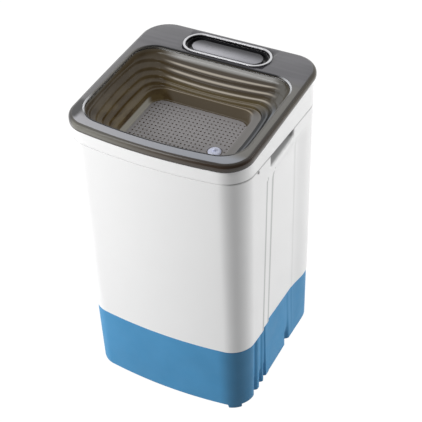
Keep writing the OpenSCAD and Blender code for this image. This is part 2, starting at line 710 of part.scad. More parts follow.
module wash_tub() {
    rail = 5;
    color("gainsboro") difference() {
        union() {
            difference() {
                union() {
                    translate([0, 0, tub_floor_z - tub_wall])
                        linear_extrude(tub_top - tub_floor_z + tub_wall) tub_plan(tub_wall);
                    translate([0, 0, tub_top - tub_wall]) linear_extrude(tub_wall) tub_plan(tub_rim);
                }
                translate([0, 0, tub_floor_z]) linear_extrude(tub_top - tub_floor_z + 1) tub_plan(0);
            }
            // Upright wash ribs on both sides and the front
            for (s = [-1, 1], y = [-55, 0, 55]) translate([s * tub_half_w, shaft_y + y, tub_floor_z - 1])
                cylinder(h = 330, r = rib_r, $fn = 32);
            for (x = [-60, 60]) translate([x, tub_front, tub_floor_z - 1])
                cylinder(h = 330, r = rib_r, $fn = 32);
            // Guides of the lint filter on the rear wall
            for (s = [-1, 1]) translate([s * (filter_w / 2 + rail / 2 + slip) - rail / 2, tub_rear - filter_t - rail, filter_z - 6])
                cube([rail, filter_t + rail + 1, filter_h - 20]);
            for (s = [-1, 1]) translate([s * (filter_w / 2 - 1) - rail, tub_rear - filter_t - rail, filter_z - 6])
                cube([2 * rail, rail - slip, filter_h - 20]);
            translate([-filter_w / 2 - rail, tub_rear - filter_t - rail, filter_z - 6 - rail])
                cube([filter_w + 2 * rail, filter_t + rail + 1, rail + 6 - slip]);
        }
        translate([0, shaft_y, tub_floor_z - 2 * tub_wall])
            cylinder(h = 4 * tub_wall, r = housing_r - 4, $fn = round_fn);
        translate([drain_x, drain_y, tub_floor_z - 2 * tub_wall])
            cylinder(h = 4 * tub_wall, r = drain_hole_r, $fn = round_fn);
        // The ribs stay inside the wall
        difference() {
            translate([0, 0, tub_floor_z - 2]) linear_extrude(360) tub_plan(30);
            translate([0, 0, tub_floor_z - 3]) linear_extrude(362) tub_plan(tub_wall);
        }
    }
}

module tub_gasket() {
    color("dimgray") translate([0, 0, tub_top]) difference() {
        linear_extrude(gasket_t) tub_plan(tub_rim - 1);
        translate([0, 0, -1]) linear_extrude(gasket_t + 2) tub_plan(0.5);
    }
}

// Drive train, from the pulsator down
pulsator_z = tub_floor_z + 8;
disc_t = 5;
shaft_top = pulsator_z + disc_t + 12;
housing_low = tub_floor_z - tub_wall - 104;
pulley_t = 16;
pulley_z = housing_low - 6 - pulley_t;
shaft_low = pulley_z - 16;
spline_r = shaft_r - 1;

module pulsator() {
    hub_r = 30;
    vanes = 4;
    color("lightsteelblue") translate([0, shaft_y, pulsator_z]) difference() {
        union() {
            rotate_extrude($fn = 96) polygon([[spline_r, 0], [hub_r - 8, 0], [hub_r, 2], [pulsator_r - 22, 2],
                [pulsator_r - 3, 6], [pulsator_r, 9], [pulsator_r - 2, 11], [pulsator_r - 22, 2 + disc_t],
                [hub_r + 6, 2 + disc_t], [hub_r, disc_t + 14], [hub_r - 8, disc_t + 17], [spline_r, disc_t + 17]]);
            // Swept vanes
            for (i = [0:vanes - 1]) rotate([0, 0, i * 360 / vanes]) difference() {
                translate([0, 46, disc_t]) cylinder(h = 24, r = 76, $fn = 96);
                translate([0, 58, disc_t - 1]) cylinder(h = 26, r = 76, $fn = 96);
                translate([-pulsator_r, -pulsator_r, disc_t - 1]) cube([pulsator_r, 2 * pulsator_r, 40]);
                translate([0, 46, disc_t - 1]) cube([2 * pulsator_r, 2 * pulsator_r, 40]);
                cylinder(h = 60, r = hub_r - 4, $fn = round_fn);
                translate([40, -60, disc_t + 22]) rotate([0, 12, 0]) cube([120, 160, 30]);
            }
        }
        translate([0, 0, disc_t + 12]) cylinder(h = 20, r = 12, $fn = round_fn);
        // Water passes through a ring of holes
        for (i = [0:11]) rotate([0, 0, 15 + i * 30]) translate([pulsator_r - 34, 0, -1])
            cylinder(h = 12, r = 5, $fn = 32);
    }
}

module pulsator_screw() {
    color("silver") translate([0, shaft_y, pulsator_z + disc_t + 12]) difference() {
        union() {
            cylinder(h = 4, r = 9, $fn = round_fn);
            translate([0, 0, -10]) cylinder(h = 10.1, r = 2.5, $fn = round_fn);
        }
        translate([-7, -0.8, 2.4]) cube([14, 1.6, 3]);
    }
}

module pulsator_shaft() {
    color("silver") translate([0, shaft_y, 0]) difference() {
        union() {
            translate([0, 0, shaft_low]) cylinder(h = pulsator_z - shaft_low, r = shaft_r, $fn = round_fn);
            translate([0, 0, pulsator_z - 1]) cylinder(h = disc_t + 13, r = spline_r, $fn = round_fn);
        }
        translate([0, 0, pulsator_z + disc_t + 1]) cylinder(h = 20, r = 2.5, $fn = round_fn);
    }
}

bush_h = 14;
bush_r = shaft_r + 5;
module shaft_housing() {
    color("gray") translate([0, shaft_y, 0]) difference() {
        union() {
            translate([0, 0, housing_low]) cylinder(h = tub_floor_z - tub_wall - housing_low, r = housing_r, $fn = round_fn);
            translate([0, 0, tub_floor_z - tub_wall - 5]) cylinder(h = 5, r = housing_flange_r, $fn = round_fn);
            for (i = [0:5]) rotate([0, 0, i * 60]) translate([0, -2, housing_low + 8])
                cube([housing_flange_r - 8, 4, tub_floor_z - tub_wall - housing_low - 10]);
            translate([0, 0, tub_floor_z - tub_wall - 1]) cylinder(h = tub_wall + 1, r = housing_r - 4 - slip, $fn = round_fn);
        }
        translate([0, 0, housing_low - 1]) cylinder(h = 200, r = shaft_r + 1.5, $fn = round_fn);
        translate([0, 0, housing_low - 1]) cylinder(h = bush_h + 1, r = bush_r, $fn = round_fn);
        translate([0, 0, tub_floor_z - seal_h - bush_h]) cylinder(h = 200, r = bush_r, $fn = round_fn);
    }
}

seal_h = 8;
module shaft_bushes() {
    color("peru") translate([0, shaft_y, 0]) {
        translate([0, 0, housing_low]) tube(bush_r, shaft_r + run_gap, bush_h);
        translate([0, 0, tub_floor_z - seal_h - bush_h]) tube(bush_r, shaft_r + run_gap, bush_h);
    }
}

module shaft_seal() {
    color("black") translate([0, shaft_y, tub_floor_z - seal_h]) tube(bush_r, shaft_r + 0.08, seal_h);
}

// A grooved pulley: hub, web and rim, with the belt's V in the rim
belt_h = 9;
belt_t = 6;
module grooved_rim(pitch_r, inner_r, height) {
    half = height / 2;
    rotate_extrude($fn = 96) polygon([[inner_r, 0], [pitch_r + 4, 0], [pitch_r + 4, half - belt_h / 2 - 1],
        [pitch_r - belt_t + 2, half - belt_h / 4], [pitch_r - belt_t + 2, half + belt_h / 4],
        [pitch_r + 4, half + belt_h / 2 + 1], [pitch_r + 4, height], [inner_r, height]]);
}

module drive_pulley() {
    hub_r = 18;
    color("lightgray") translate([0, shaft_y, pulley_z]) difference() {
        union() {
            grooved_rim(pulley_r, pulley_r - 14, pulley_t);
            translate([0, 0, 6]) cylinder(h = 4, r = pulley_r - 12, $fn = 96);
            cylinder(h = pulley_t + 2, r = hub_r, $fn = round_fn);
        }
        translate([0, 0, -1]) cylinder(h = pulley_t + 4, r = shaft_r, $fn = round_fn);
        for (i = [0:4]) rotate([0, 0, i * 72]) translate([43, 0, -1]) cylinder(h = 20, r = 15, $fn = round_fn);
    }
}

module pulley_nut() {
    color("silver") translate([0, shaft_y, pulley_z - 8]) difference() {
        cylinder(h = 8, r = 11, $fn = 6);
        translate([0, 0, -1]) cylinder(h = 10, r = shaft_r, $fn = round_fn);
    }
}

// The motor hangs behind the pulsator shaft
motor_y = shaft_y + belt_centres;
motor_top = tub_floor_z - tub_wall - 18;
motor_low = pulley_z + pulley_t + 12;
motor_shaft_r = 5.5;
bracket_t = 3;

module drive_belt() {
    band = belt_t * 0.7;
    r1 = pulley_r - belt_t + 2 + slip;
    r2 = motor_pulley_r - belt_t + 2 + slip;
    color([0.12, 0.12, 0.12]) translate([0, 0, pulley_z + pulley_t / 2 - belt_h / 4]) linear_extrude(belt_h / 2)
        difference() {
            belt_loop(r1 + band, r2 + band);
            belt_loop(r1, r2);
        }
}
module belt_loop(r1, r2) {
    lean_a = asin((r1 - r2) / belt_centres);
    translate([0, shaft_y]) circle(r = r1, $fn = 96);
    translate([0, motor_y]) circle(r = r2, $fn = 96);
    polygon([
        [r1 * cos(lean_a), shaft_y + r1 * sin(lean_a)], [r2 * cos(lean_a), motor_y + r2 * sin(lean_a)],
        [-r2 * cos(lean_a), motor_y + r2 * sin(lean_a)], [-r1 * cos(lean_a), shaft_y + r1 * sin(lean_a)]]);
}

module motor() {
    color("slategray") translate([0, motor_y, 0]) difference() {
        union() {
            translate([0, 0, motor_low]) rotate_extrude($fn = 96) polygon([[0, 0], [motor_r - 12, 0], [motor_r - 4, 4],
                [motor_r, 10], [motor_r, motor_top - motor_low - 10], [motor_r - 4, motor_top - motor_low - 4],
                [motor_r - 12, motor_top - motor_low], [0, motor_top - motor_low]]);
            for (a = [45:90:315]) rotate([0, 0, a]) translate([motor_r - 4, -7, motor_top - 12]) cube([18, 14, 12]);
            translate([0, 0, motor_low - 3]) cylinder(h = 4, r = 16, $fn = round_fn);
        }
        translate([0, 0, motor_low - 4]) cylinder(h = motor_top - motor_low - 6, r = motor_shaft_r + run_gap, $fn = round_fn);
        for (a = [45:90:315]) rotate([0, 0, a]) translate([motor_r + 8, 0, motor_top - 13])
            cylinder(h = 20, r = 2.6, $fn = round_fn);
        for (i = [0:11]) rotate([0, 0, i * 30]) translate([motor_r - 22, -2, motor_low - 1]) cube([10, 4, 4]);
    }
}

module motor_shaft() {
    color("silver") translate([0, motor_y, pulley_z - 2])
        cylinder(h = motor_top - 12 - pulley_z, r = motor_shaft_r, $fn = round_fn);
}

module motor_pulley() {
    color("lightgray") translate([0, motor_y, pulley_z]) difference() {
        union() {
            grooved_rim(motor_pulley_r, motor_shaft_r, pulley_t);
            cylinder(h = pulley_t, r = motor_pulley_r - belt_t, $fn = round_fn);
        }
        translate([0, 0, -1]) cylinder(h = pulley_t + 2, r = motor_shaft_r, $fn = round_fn);
    }
}

grommet_h = 6;
module motor_grommets() {
    color("black") translate([0, motor_y, motor_top]) for (a = [45:90:315]) rotate([0, 0, a])
        translate([motor_r + 8, 0, 0]) tube(6, 2.6, grommet_h);
}

// A folded steel strap from the shaft housing's flange to the motor
module motor_bracket() {
    plate_w = 120;
    top_z = tub_floor_z - tub_wall - bracket_t;
    low_z = motor_top + grommet_h;
    start = shaft_y + housing_flange_r + 4;
    color("silver") difference() {
        union() {
            translate([-plate_w / 2, start, low_z]) cube([plate_w, motor_y + motor_r + 4 - start, bracket_t]);
            for (x = [-plate_w / 2, plate_w / 2 - 24]) {
                translate([x, start, low_z]) cube([24, bracket_t, top_z + bracket_t - low_z]);
                translate([x, start, top_z]) cube([24, 26, bracket_t]);
            }
        }
        for (a = [45:90:315]) translate([0, motor_y, low_z - 1]) rotate([0, 0, a]) translate([motor_r + 8, 0, 0])
            cylinder(h = bracket_t + 2, r = 2.6, $fn = round_fn);
        translate([0, motor_y, low_z - 1]) cylinder(h = bracket_t + 2, r = 24, $fn = round_fn);
    }
}

module capacitor() {
    color("whitesmoke") translate([gland_x, shaft_y - 20, floor_z + floor_t]) {
        cylinder(h = 70, r = 19, $fn = round_fn);
        translate([-24, -8, 0]) cube([48, 16, 3]);
        for (y = [-5, 5]) translate([-1, y - 3, 69]) cube([2, 6, 9]);
    }
}

module lint_filter() {
    frame_t = 4;
    color("whitesmoke") translate([-filter_w / 2, tub_rear - filter_t, filter_z]) difference() {
        union() {
            cube([filter_w, filter_t - slip, filter_h]);
            translate([filter_w / 2 - 16, -4, filter_h - 6]) cube([32, 8, 6]);
        }
        translate([frame_t, frame_t, frame_t]) cube([filter_w - 2 * frame_t, filter_t, filter_h - 2 * frame_t - 8]);
        for (i = [0:6], j = [0:9]) translate([10 + i * 11.2, -1, 10 + j * 12.4]) cube([8.8, frame_t + 2, 9]);
    }
}

valve_r = 24;
valve_z = tub_floor_z - tub_wall - 46;
module drain_grille() {
    color("silver") translate([drain_x, drain_y, tub_floor_z]) difference() {
        union() {
            cylinder(h = 1.5, r = drain_hole_r + 5, $fn = round_fn);
            translate([0, 0, -3]) cylinder(h = 3.1, r = drain_hole_r - 0.2, $fn = round_fn);
        }
        for (i = [0:5]) rotate([0, 0, i * 60]) translate([9, 0, -4]) cylinder(h = 8, r = 2.6, $fn = 32);
        translate([0, 0, -4]) cylinder(h = 8, r = 2.6, $fn = 32);
    }
}

rod_r = 3;
plunger_z = tub_floor_z - tub_wall - 10;
solenoid_top = valve_z - 14;
module drain_valve_body() {
    bore_r = valve_r - 3;
    color("whitesmoke") translate([drain_x, drain_y, 0]) difference() {
        union() {
            translate([0, 0, valve_z]) cylinder(h = tub_floor_z - tub_wall - valve_z, r = valve_r, $fn = round_fn);
            translate([0, 0, valve_z + 14]) rotate([-90, 0, 0]) cylinder(h = valve_r + 14, r = hose_bore_r, $fn = round_fn);
            for (s = [-1, 1]) translate([s * 17 - 3, -3, solenoid_top]) cube([6, 6, valve_z - solenoid_top + 1]);
        }
        translate([0, 0, valve_z + 3]) cylinder(h = plunger_z - valve_z - 3, r = bore_r, $fn = round_fn);
        translate([0, 0, plunger_z - 1]) cylinder(h = 30, r = drain_hole_r - 3, $fn = round_fn);
        translate([0, 0, valve_z - 1]) cylinder(h = 20, r = rod_r + run_gap, $fn = round_fn);
        translate([0, 0, valve_z + 14]) rotate([-90, 0, 0]) cylinder(h = valve_r + 20, r = hose_bore_r - 2.4, $fn = round_fn);
    }
}

module valve_plunger() {
    color("orange") translate([drain_x, drain_y, 0]) {
        translate([0, 0, plunger_z - 5 - slip]) cylinder(h = 5, r = drain_hole_r + 2, $fn = round_fn);
        translate([0, 0, solenoid_top - 24]) cylinder(h = plunger_z - 5 - solenoid_top + 24, r = rod_r, $fn = round_fn);
    }
}

module valve_spring() {
    wire = 0.8;
    spring_r = 8;
    turns = 5;
    steps = 12;
    sides = 6;
    low = valve_z + 3 + wire + 0.1;
    high = plunger_z - 5 - slip - wire - 0.1;
    color("silver") translate([drain_x, drain_y, 0]) skin([for (k = [0:turns * steps]) let (
        a = k * 360 / steps,
        z = low + (high - low) * k / (turns * steps))
        [for (j = [0:sides - 1]) let (b = -j * 360 / sides)
            [(spring_r + wire * cos(b)) * cos(a), (spring_r + wire * cos(b)) * sin(a), z + wire * sin(b)]]]);
}

module drain_solenoid() {
    color("goldenrod") translate([drain_x, drain_y, solenoid_top - 34]) difference() {
        union() {
            cylinder(h = 30, r = 16, $fn = round_fn);
            translate([-22, -16, 30]) cube([44, 32, 4]);
            translate([-22, -16, 0]) cube([44, 32, 3]);
        }
        translate([0, 0, 34 - 24 - valve_travel - 1]) cylinder(h = 60, r = rod_r + run_gap, $fn = round_fn);
    }
}

// The hose from the valve's side outlet down to the drain outlet at the rear
hose_r = 13;
hose_bore_r = 10.4;
hose_bend = 30;
function bend(y, z, from, steps = 4) = [for (i = [0:steps]) let (a = from + 90 * i / steps)
    [drain_x, y + hose_bend * cos(a), z + hose_bend * sin(a)]];
function bend_back(y, z, from, steps = 4) = [for (i = [0:steps]) let (a = from - 90 * i / steps)
    [drain_x, y + hose_bend * cos(a), z + hose_bend * sin(a)]];
// Rings round a route that stays in one upright plane
function tube_rings(path, r, sides) = [for (i = [0:len(path) - 1]) let (
    a = path[max(0, i - 1)],
    b = path[min(len(path) - 1, i + 1)],
    along = (b - a) / norm(b - a),
    up = cross([1, 0, 0], along))
    [for (j = [0:sides - 1]) let (t = 360 * j / sides) path[i] + r * (cos(t) * [1, 0, 0] + sin(t) * up)]];
module drain_hose() {
    sides = 12;
    z1 = valve_z + 14;
    leg_y = drain_y + valve_r + 8 + hose_bend;
    end_y = base_rear(outlet_z) - bay_depth - wall - 4;
    path = concat([[drain_x, drain_y + valve_r + 1, z1]],
        bend_back(leg_y - hose_bend, z1 - hose_bend, 90),
        bend(leg_y + hose_bend, outlet_z + hose_bend, 180),
        [[drain_x, end_y, outlet_z]]);
    outer = tube_rings(path, hose_r, sides);
    inner = tube_rings(path, hose_bore_r, sides);
    color([0.25, 0.25, 0.25]) skin(concat(outer, [for (i = [len(path) - 1:-1:0]) inner[i]]), true);
}

module drain_outlet() {
    bay = base_rear(outlet_z) - bay_depth;
    stub_len = 20;
    flange_t = 2.5;
    color("whitesmoke") translate([outlet_x, bay, outlet_z]) rotate([-90, 0, 0]) difference() {
        union() {
            translate([0, 0, -wall - 1]) cylinder(h = wall + 1 + spigot_len, r = spigot_r, $fn = round_fn);
            translate([0, 0, -wall - stub_len]) cylinder(h = stub_len, r = hose_bore_r, $fn = round_fn);
            translate([0, 0, slip]) cylinder(h = flange_t, r = spigot_r + 5, $fn = round_fn);
        }
        translate([0, 0, -wall - stub_len - 1]) cylinder(h = stub_len + 2 * spigot_len, r = hose_bore_r - 2.4, $fn = round_fn);
    }
}

gland_r = 8;
module cord_gland() {
    bay = base_rear(outlet_z) - bay_depth;
    color("dimgray") translate([gland_x, bay, outlet_z]) rotate([-90, 0, 0]) difference() {
        union() {
            translate([0, 0, -wall - 6]) cylinder(h = wall + 24, r = gland_r, $fn = round_fn);
            translate([0, 0, slip]) cylinder(h = 4, r = gland_r + 4, $fn = 6);
        }
        translate([0, 0, -20]) cylinder(h = 60, r = gland_bore_r, $fn = round_fn);
    }
}

module on_rear(z) {
    translate([0, base_rear(z), z]) rotate([-atan(draft / (seam_high - foot_h)), 0, 0]) children();
}
cover_screw_spots = [for (x = [-1, 1], z = [5, cover_h - 5]) [x * (cover_w / 2 - 4), z]];
module service_cover() {
    color("steelblue") on_rear(cover_z) difference() {
        translate([-cover_w / 2, slip, 0]) cube([cover_w, cover_t, cover_h]);
        for (i = [0:5]) translate([-45, -1, 30 + i * 9]) cube([90, cover_t + 3, 4]);
        for (s = cover_screw_spots) translate([s.x, -2, s.y]) rotate([-90, 0, 0])
            cylinder(h = 8, r = screw_shank_r + 0.2, $fn = round_fn);
    }
}
module cover_screws() {
    color("darkslategray") on_rear(cover_z) for (s = cover_screw_spots)
        translate([s.x, slip + cover_t, s.y]) rotate([-90, 0, 0]) {
            cylinder(h = 1.8, r = screw_head_r, $fn = round_fn);
            translate([0, 0, -cover_t - 2 * wall]) cylinder(h = cover_t + 2 * wall + 0.1, r = screw_shank_r, $fn = round_fn);
        }
}

base();
feet();
cabinet();
top_collar();
collar_screws();
lid_frame();
scrub_basin();
scrub_floor();
basin_plug();
chrome_ring();
hinge_pins();
control_housing();
control_panel();
start_key();
program_key();
drain_key();
control_board();
wash_tub();
tub_gasket();
pulsator();
pulsator_shaft();
pulsator_screw();
shaft_housing();
shaft_bushes();
shaft_seal();
drive_pulley();
pulley_nut();
drive_belt();
motor();
motor_shaft();
motor_pulley();
motor_bracket();
motor_grommets();
capacitor();
lint_filter();
drain_grille();
drain_valve_body();
valve_plunger();
valve_spring();
drain_solenoid();
drain_hose();
drain_outlet();
cord_gland();
service_cover();
cover_screws();
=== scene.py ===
# %% [markdown]
# # A compact washing machine with a scrubbing basin in its lid
# The machine is a white cabinet on a blue base, with one tub inside. Its smoke-coloured lid is a
# deep moulding: a flat deck, a mouth with round corners, four ridges to rub clothes on, and a
# dotted grey floor. This lesson dresses the solids of the CAD model with smooth mouldings,
# plastics, rubber and metal. Everything is in metres, in the frame of the solids: +Z is up and
# the bowed front faces -Y.

# %% Load the solids
import bpy
import bmesh
import math
from mathutils import Matrix, Vector


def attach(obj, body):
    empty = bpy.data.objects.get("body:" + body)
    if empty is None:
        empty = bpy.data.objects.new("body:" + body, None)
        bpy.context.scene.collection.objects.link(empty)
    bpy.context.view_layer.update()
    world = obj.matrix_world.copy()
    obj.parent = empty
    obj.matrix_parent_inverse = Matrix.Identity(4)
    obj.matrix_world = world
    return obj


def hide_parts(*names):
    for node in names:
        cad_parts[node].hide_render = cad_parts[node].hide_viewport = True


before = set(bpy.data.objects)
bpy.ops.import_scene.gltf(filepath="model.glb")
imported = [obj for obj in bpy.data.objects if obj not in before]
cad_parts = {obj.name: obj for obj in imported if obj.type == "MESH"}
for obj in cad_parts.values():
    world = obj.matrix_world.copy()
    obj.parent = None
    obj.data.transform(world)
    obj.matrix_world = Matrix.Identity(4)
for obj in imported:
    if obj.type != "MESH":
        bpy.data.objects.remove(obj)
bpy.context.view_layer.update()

# %% [markdown]
# ## Sizes
# The sizes of the solids are written down once, in millimetres, because walls, cuts and shades
# all refer to the same few heights and depths. MM turns them into the metres of the scene.

# %% Sizes of the body
MM = 0.001
BODY_W, BODY_D, FRONT_BOW, SIDE_BOW = 455, 452, 20, 2
Y_FRONT, Y_REAR, FRONT_R, REAR_R = -216, 236, 58, 78
SIDE_START, SIDE_END = -158, 158
SEAM_LOW, SEAM_HIGH, SKIRT_Z, DECK_Z = 215, 760, 800, 817
DRAFT, DROP, WALL, FOOT_H = 8, 38, 3, 12
GRIP_FRONT, GRIP_REAR, GRIP_LOW, GRIP_DEPTH = -70, 62, 713, 24

# %% Sizes of the lid
LID_OVER, LID_FRONT_R, LID_REAR_R = 3, 52, 66
MOUTH_HW = BODY_W / 2 + LID_OVER - 24
MOUTH_FRONT, MOUTH_REAR = Y_FRONT - LID_OVER + 27, Y_REAR + LID_OVER - 110
RECESS_HW, RECESS_FRONT, RECESS_REAR = 137, MOUTH_FRONT + 38, MOUTH_REAR - 79
MOUTH_R, RECESS_R = 55, 38
STEP_Z, FLOOR_TOP = DECK_Z - 61, DECK_Z - 89
BAY_Y = (MOUTH_REAR + Y_REAR + LID_OVER) / 2 - 7
RING_LENGTH, RING_WIDTH = 232, 82
HINGE_X, HINGE_Y, HINGE_Z = 149.5, Y_REAR - 3.6, SKIRT_Z - 4.7
print("mouth:", 2 * MOUTH_HW, "x", MOUTH_REAR - MOUTH_FRONT, "mm, basin depth:", DECK_Z - FLOOR_TOP, "mm")

# %% [markdown]
# ## Camera
# The camera could be moved by eye until the picture fits. It was solved instead from the outlines
# and seams of the picture, so it is written as a place and three directions. A long lens far
# away keeps the uprights of the cabinet nearly parallel.

# %% Place the camera
EYE = Vector((1149.16, -2066.63, 2494.53)) * MM
RIGHT = Vector((0.892314, 0.450238, -0.032565))
UP = Vector((-0.273425, 0.596474, 0.754624))
BACK = Vector((0.359185, -0.664458, 0.655349))
FOCAL_PIXELS = 1243.975
PICTURE = 422


def place_camera():
    data = bpy.data.cameras.new("camera")
    data.sensor_width = 36
    data.lens = FOCAL_PIXELS / PICTURE * data.sensor_width
    camera = bpy.data.objects.new("camera", data)
    bpy.context.scene.collection.objects.link(camera)
    turn = Matrix((RIGHT, UP, BACK)).transposed().to_4x4()
    camera.matrix_world = Matrix.Translation(EYE) @ turn
    bpy.context.scene.camera = camera
    return camera


camera = place_camera()
print("lens:", round(camera.data.lens, 1), "mm")

# %% [markdown]
# ## Writing shaders as sums
# A finish is a small recipe of numbers that change over the surface. It could be wired by hand,
# but a long chain of Math nodes is hard to read. Here one class wraps the output of a node and
# lets Python's own signs add the Math nodes, so a recipe reads as a sum. A second class holds a
# tree of nodes and adds any other node, and a third is a material on its Principled shader.

# %% A wrapped socket
class Value:
    def __init__(self, recipe, socket):
        self.recipe, self.socket = recipe, socket

    def math(self, operation, *others):
        return self.recipe.node("ShaderNodeMath", self, *others, settings=dict(operation=operation))

    def __add__(self, other):
        return self.math("ADD", other)

    __radd__ = __add__

    def __mul__(self, other):
        return self.math("MULTIPLY", other)

    __rmul__ = __mul__

    def __sub__(self, other):
        return self.math("SUBTRACT", other)

    def __rsub__(self, other):
        return self.recipe.node("ShaderNodeMath", other, self, settings=dict(operation="SUBTRACT"))

    def __truediv__(self, other):
        return self.math("DIVIDE", other)

    def over(self, low, high):
        """0 at low and 1 at high, with an eased change between them. low may be the larger."""
        return self.recipe.node("ShaderNodeMapRange", settings=dict(interpolation_type="SMOOTHSTEP"),
                                Value=self, From_Min=low, From_Max=high)


# %% A tree of nodes
class Recipe:
    def __init__(self, tree):
        self.tree = tree

    def feed(self, socket, item):
        if isinstance(item, Value):
            self.tree.links.new(item.socket, socket)
        elif socket.type == "RGBA" and len(item) == 3:
            socket.default_value = (*item, 1)
        else:
            socket.default_value = item

    def find(self, node, name):
        """An input by its name, among those that the node's settings leave in use."""
        return next(s for s in node.inputs if s.enabled and s.name == name.replace("_", " "))

    def node(self, kind, *places, settings=None, output=0, **inputs):
        """Adds a node. Inputs are given by place or by name, after the settings are made."""
        node = self.tree.nodes.new(kind)
        for name, setting in (settings or {}).items():
            setattr(node, name, setting)
        for place, item in enumerate(places):
            self.feed(node.inputs[place], item)
        for name, item in inputs.items():
            self.feed(self.find(node, name), item)
        return Value(self, node.outputs[output])

    def rays(self, *kinds):
        """1 where a ray of one of these kinds arrives, and 0 elsewhere."""
        first, *others = [self.node("ShaderNodeLightPath", output=f"Is {kind} Ray") for kind in kinds]
        for other in others:
            first = first.math("MAXIMUM", other)
        return first


# %% A material
class Finish(Recipe):
    made = {}

    def __init__(self, name, color, rough, **constants):
        self.material = bpy.data.materials.new(name)
        self.material.use_nodes = True
        super().__init__(self.material.node_tree)
        self.shader = self.tree.nodes["Principled BSDF"]
        self.place = self.node("ShaderNodeTexCoord", output="Object")
        self.give(Base_Color=(*color, 1), Roughness=rough, **constants)
        Finish.made[name] = self

    def give(self, **inputs):
        for name, item in inputs.items():
            self.feed(self.find(self.shader, name), item)
        return self

    def color(self):
        """What feeds the base colour so far, so that more can be laid over it."""
        return Value(self, self.find(self.shader, "Base_Color").links[0].from_socket)

    def axes(self):
        """The three coordinates of a point, in metres."""
        x = self.node("ShaderNodeSeparateXYZ", self.place)
        return [Value(self, out) for out in x.socket.node.outputs]

    def noise(self, scale, detail=2, rough=0.5, at=None):
        return self.node("ShaderNodeTexNoise", Vector=at or self.place, Scale=scale, Detail=detail,
                         Roughness=rough)

    def stretched(self, *scale):
        return self.node("ShaderNodeMapping", Vector=self.place, Scale=scale)

    def mix(self, share, a, b):
        return self.node("ShaderNodeMix", settings=dict(data_type="RGBA"), output=2, Factor=share, A=a, B=b)

    def layers(self, color, *coats):
        """Lays coats over a colour, one after another. Each coat is (share, colour)."""
        for share, coat in coats:
            color = self.mix(share, color, coat)
        return color

    def bump(self, height, distance):
        self.give(Normal=self.node("ShaderNodeBump", Height=height, Distance=distance, Strength=1.0))
        return self


# %% Helpers for colours and zones
NEAR_BLACK = (0.02, 0.016, 0.012)


def grey(level):
    return level, level, level


def near(color, share):
    """A colour made lighter (share above 1) or darker."""
    return tuple(min(1, c * share) for c in color)


def within(v, low, high, soft):
    """1 between low and high, fading to 0 over a soft margin outside."""
    return v.over(low - soft, low) * v.over(high + soft, high)


def crest(z, height, width):
    """A line round the basin at a height, as a rise and a fall in z."""
    return z.over(height - width, height) * z.over(height + width, height)


# %% [markdown]
# ## Moulded plastics
# Moulded plastic is never perfectly even: the gloss has a faint orange peel, the colour drifts by
# a percent or two, and handling dulls it in clouds. A picture of plastic could give that, but
# noise in three dimensions has no seams and no repeat. Each finish below gets all three.

# %% White, blue, black and grey plastic
def moulded(name, color, rough, peel=0.00004, drift=0.03, scale=9, **constants):
    finish = Finish(name, color, rough, **constants)
    clouds = finish.noise(scale, 3)
    finish.give(Base_Color=finish.mix(clouds.over(0.3, 0.7), near(color, 1 - drift), near(color, 1 + drift)),
                Roughness=rough + 0.08 * finish.noise(scale * 2.3, 2).over(0.35, 0.75))
    return finish.bump(finish.noise(260, 1), peel)


white = moulded("white_plastic", grey(0.79), 0.34, peel=0.00001, drift=0.006, scale=4,
                Coat_Weight=0.12, Coat_Roughness=0.15)
blue = moulded("blue_plastic", (0.066, 0.260, 0.48), 0.5, peel=0.00002, drift=0.04,
               Specular_IOR_Level=0.22)
black = moulded("black_plastic", (0.012, 0.012, 0.014), 0.3, Coat_Weight=0.3, Coat_Roughness=0.1)
fitting = moulded("grey_fitting", (0.16, 0.17, 0.19), 0.5)
tub_white = moulded("tub_plastic", (0.68, 0.71, 0.73), 0.3, Coat_Weight=0.2)
pulsator_blue = moulded("pulsator_plastic", (0.22, 0.36, 0.50), 0.3, Coat_Weight=0.2)
# The plug's faint emission is painted light, which keeps it bright where it lies in the basin's shade.
plug_white = moulded("plug_rubber", (0.70, 0.74, 0.92), 0.25, Coat_Weight=0.5, Coat_Roughness=0.08,
                     Emission_Color=(0.70, 0.72, 0.86, 1), Emission_Strength=0.10)
print("moulded:", sorted(Finish.made))

# %% [markdown]
# ## Shade in narrow places
# Little light reaches the bottom of the grip pockets, the two lines along the sunk panels and the
# upper seam. Large soft lamps wash most of that shade out, so part of it is laid on the plastic.
# The places follow the sizes of the body, so the shade stays on its piece in every view.

# %% Shade on the white walls
SIDE_FROM, SIDE_FULL = 0.032, 0.043
CUP_FACE, CUP_DEEP = 0.2282, 0.2225
PANEL_LINES = ((0.0380, 0.1089, 0.44), (0.0395, 0.0722, 0.46))
LINE_HALF, LINE_SOFT = 0.0045, 0.005


def fallen(y):
    """How far the seams have come down at a depth, in metres."""
    share = (y - Y_FRONT * MM) / (BODY_D * MM)
    return DROP * MM * share.math("MINIMUM", 1.0).math("MAXIMUM", 0.0)


def shade_white():
    """x * x is the same on the right and on the left, so one recipe serves both sides."""
    x, y, z = white.axes()
    sides = (x * x).over(SIDE_FROM, SIDE_FULL)
    above = z + fallen(y) - SEAM_HIGH * MM
    coats = []
    for slope, start, level in PANEL_LINES:
        off = (y - (slope * z - start)).math("ABSOLUTE")
        line = off.over(LINE_HALF + LINE_SOFT, LINE_HALF) * z.over(0.690, 0.683)
        coats.append((line * sides, grey(level)))
    cup = (x * x).over(CUP_FACE ** 2, CUP_DEEP ** 2) * above.over(0.0, -0.0005)
    cup = cup * z.over((GRIP_LOW - 13) * MM, (GRIP_LOW - 7) * MM)
    coats.append((cup * within(y, GRIP_FRONT * MM, (GRIP_REAR + 2) * MM, 0.001) * sides, grey(0.33)))
    seam = above.over(0.0020, 0.0010) * above.over(-0.0060, -0.0008)
    coats.append((seam * 0.6 * sides, grey(0.16)))
    white.give(Base_Color=white.layers(white.color(), *coats))
    return len(coats)


print("shades on the white plastic:", shade_white())


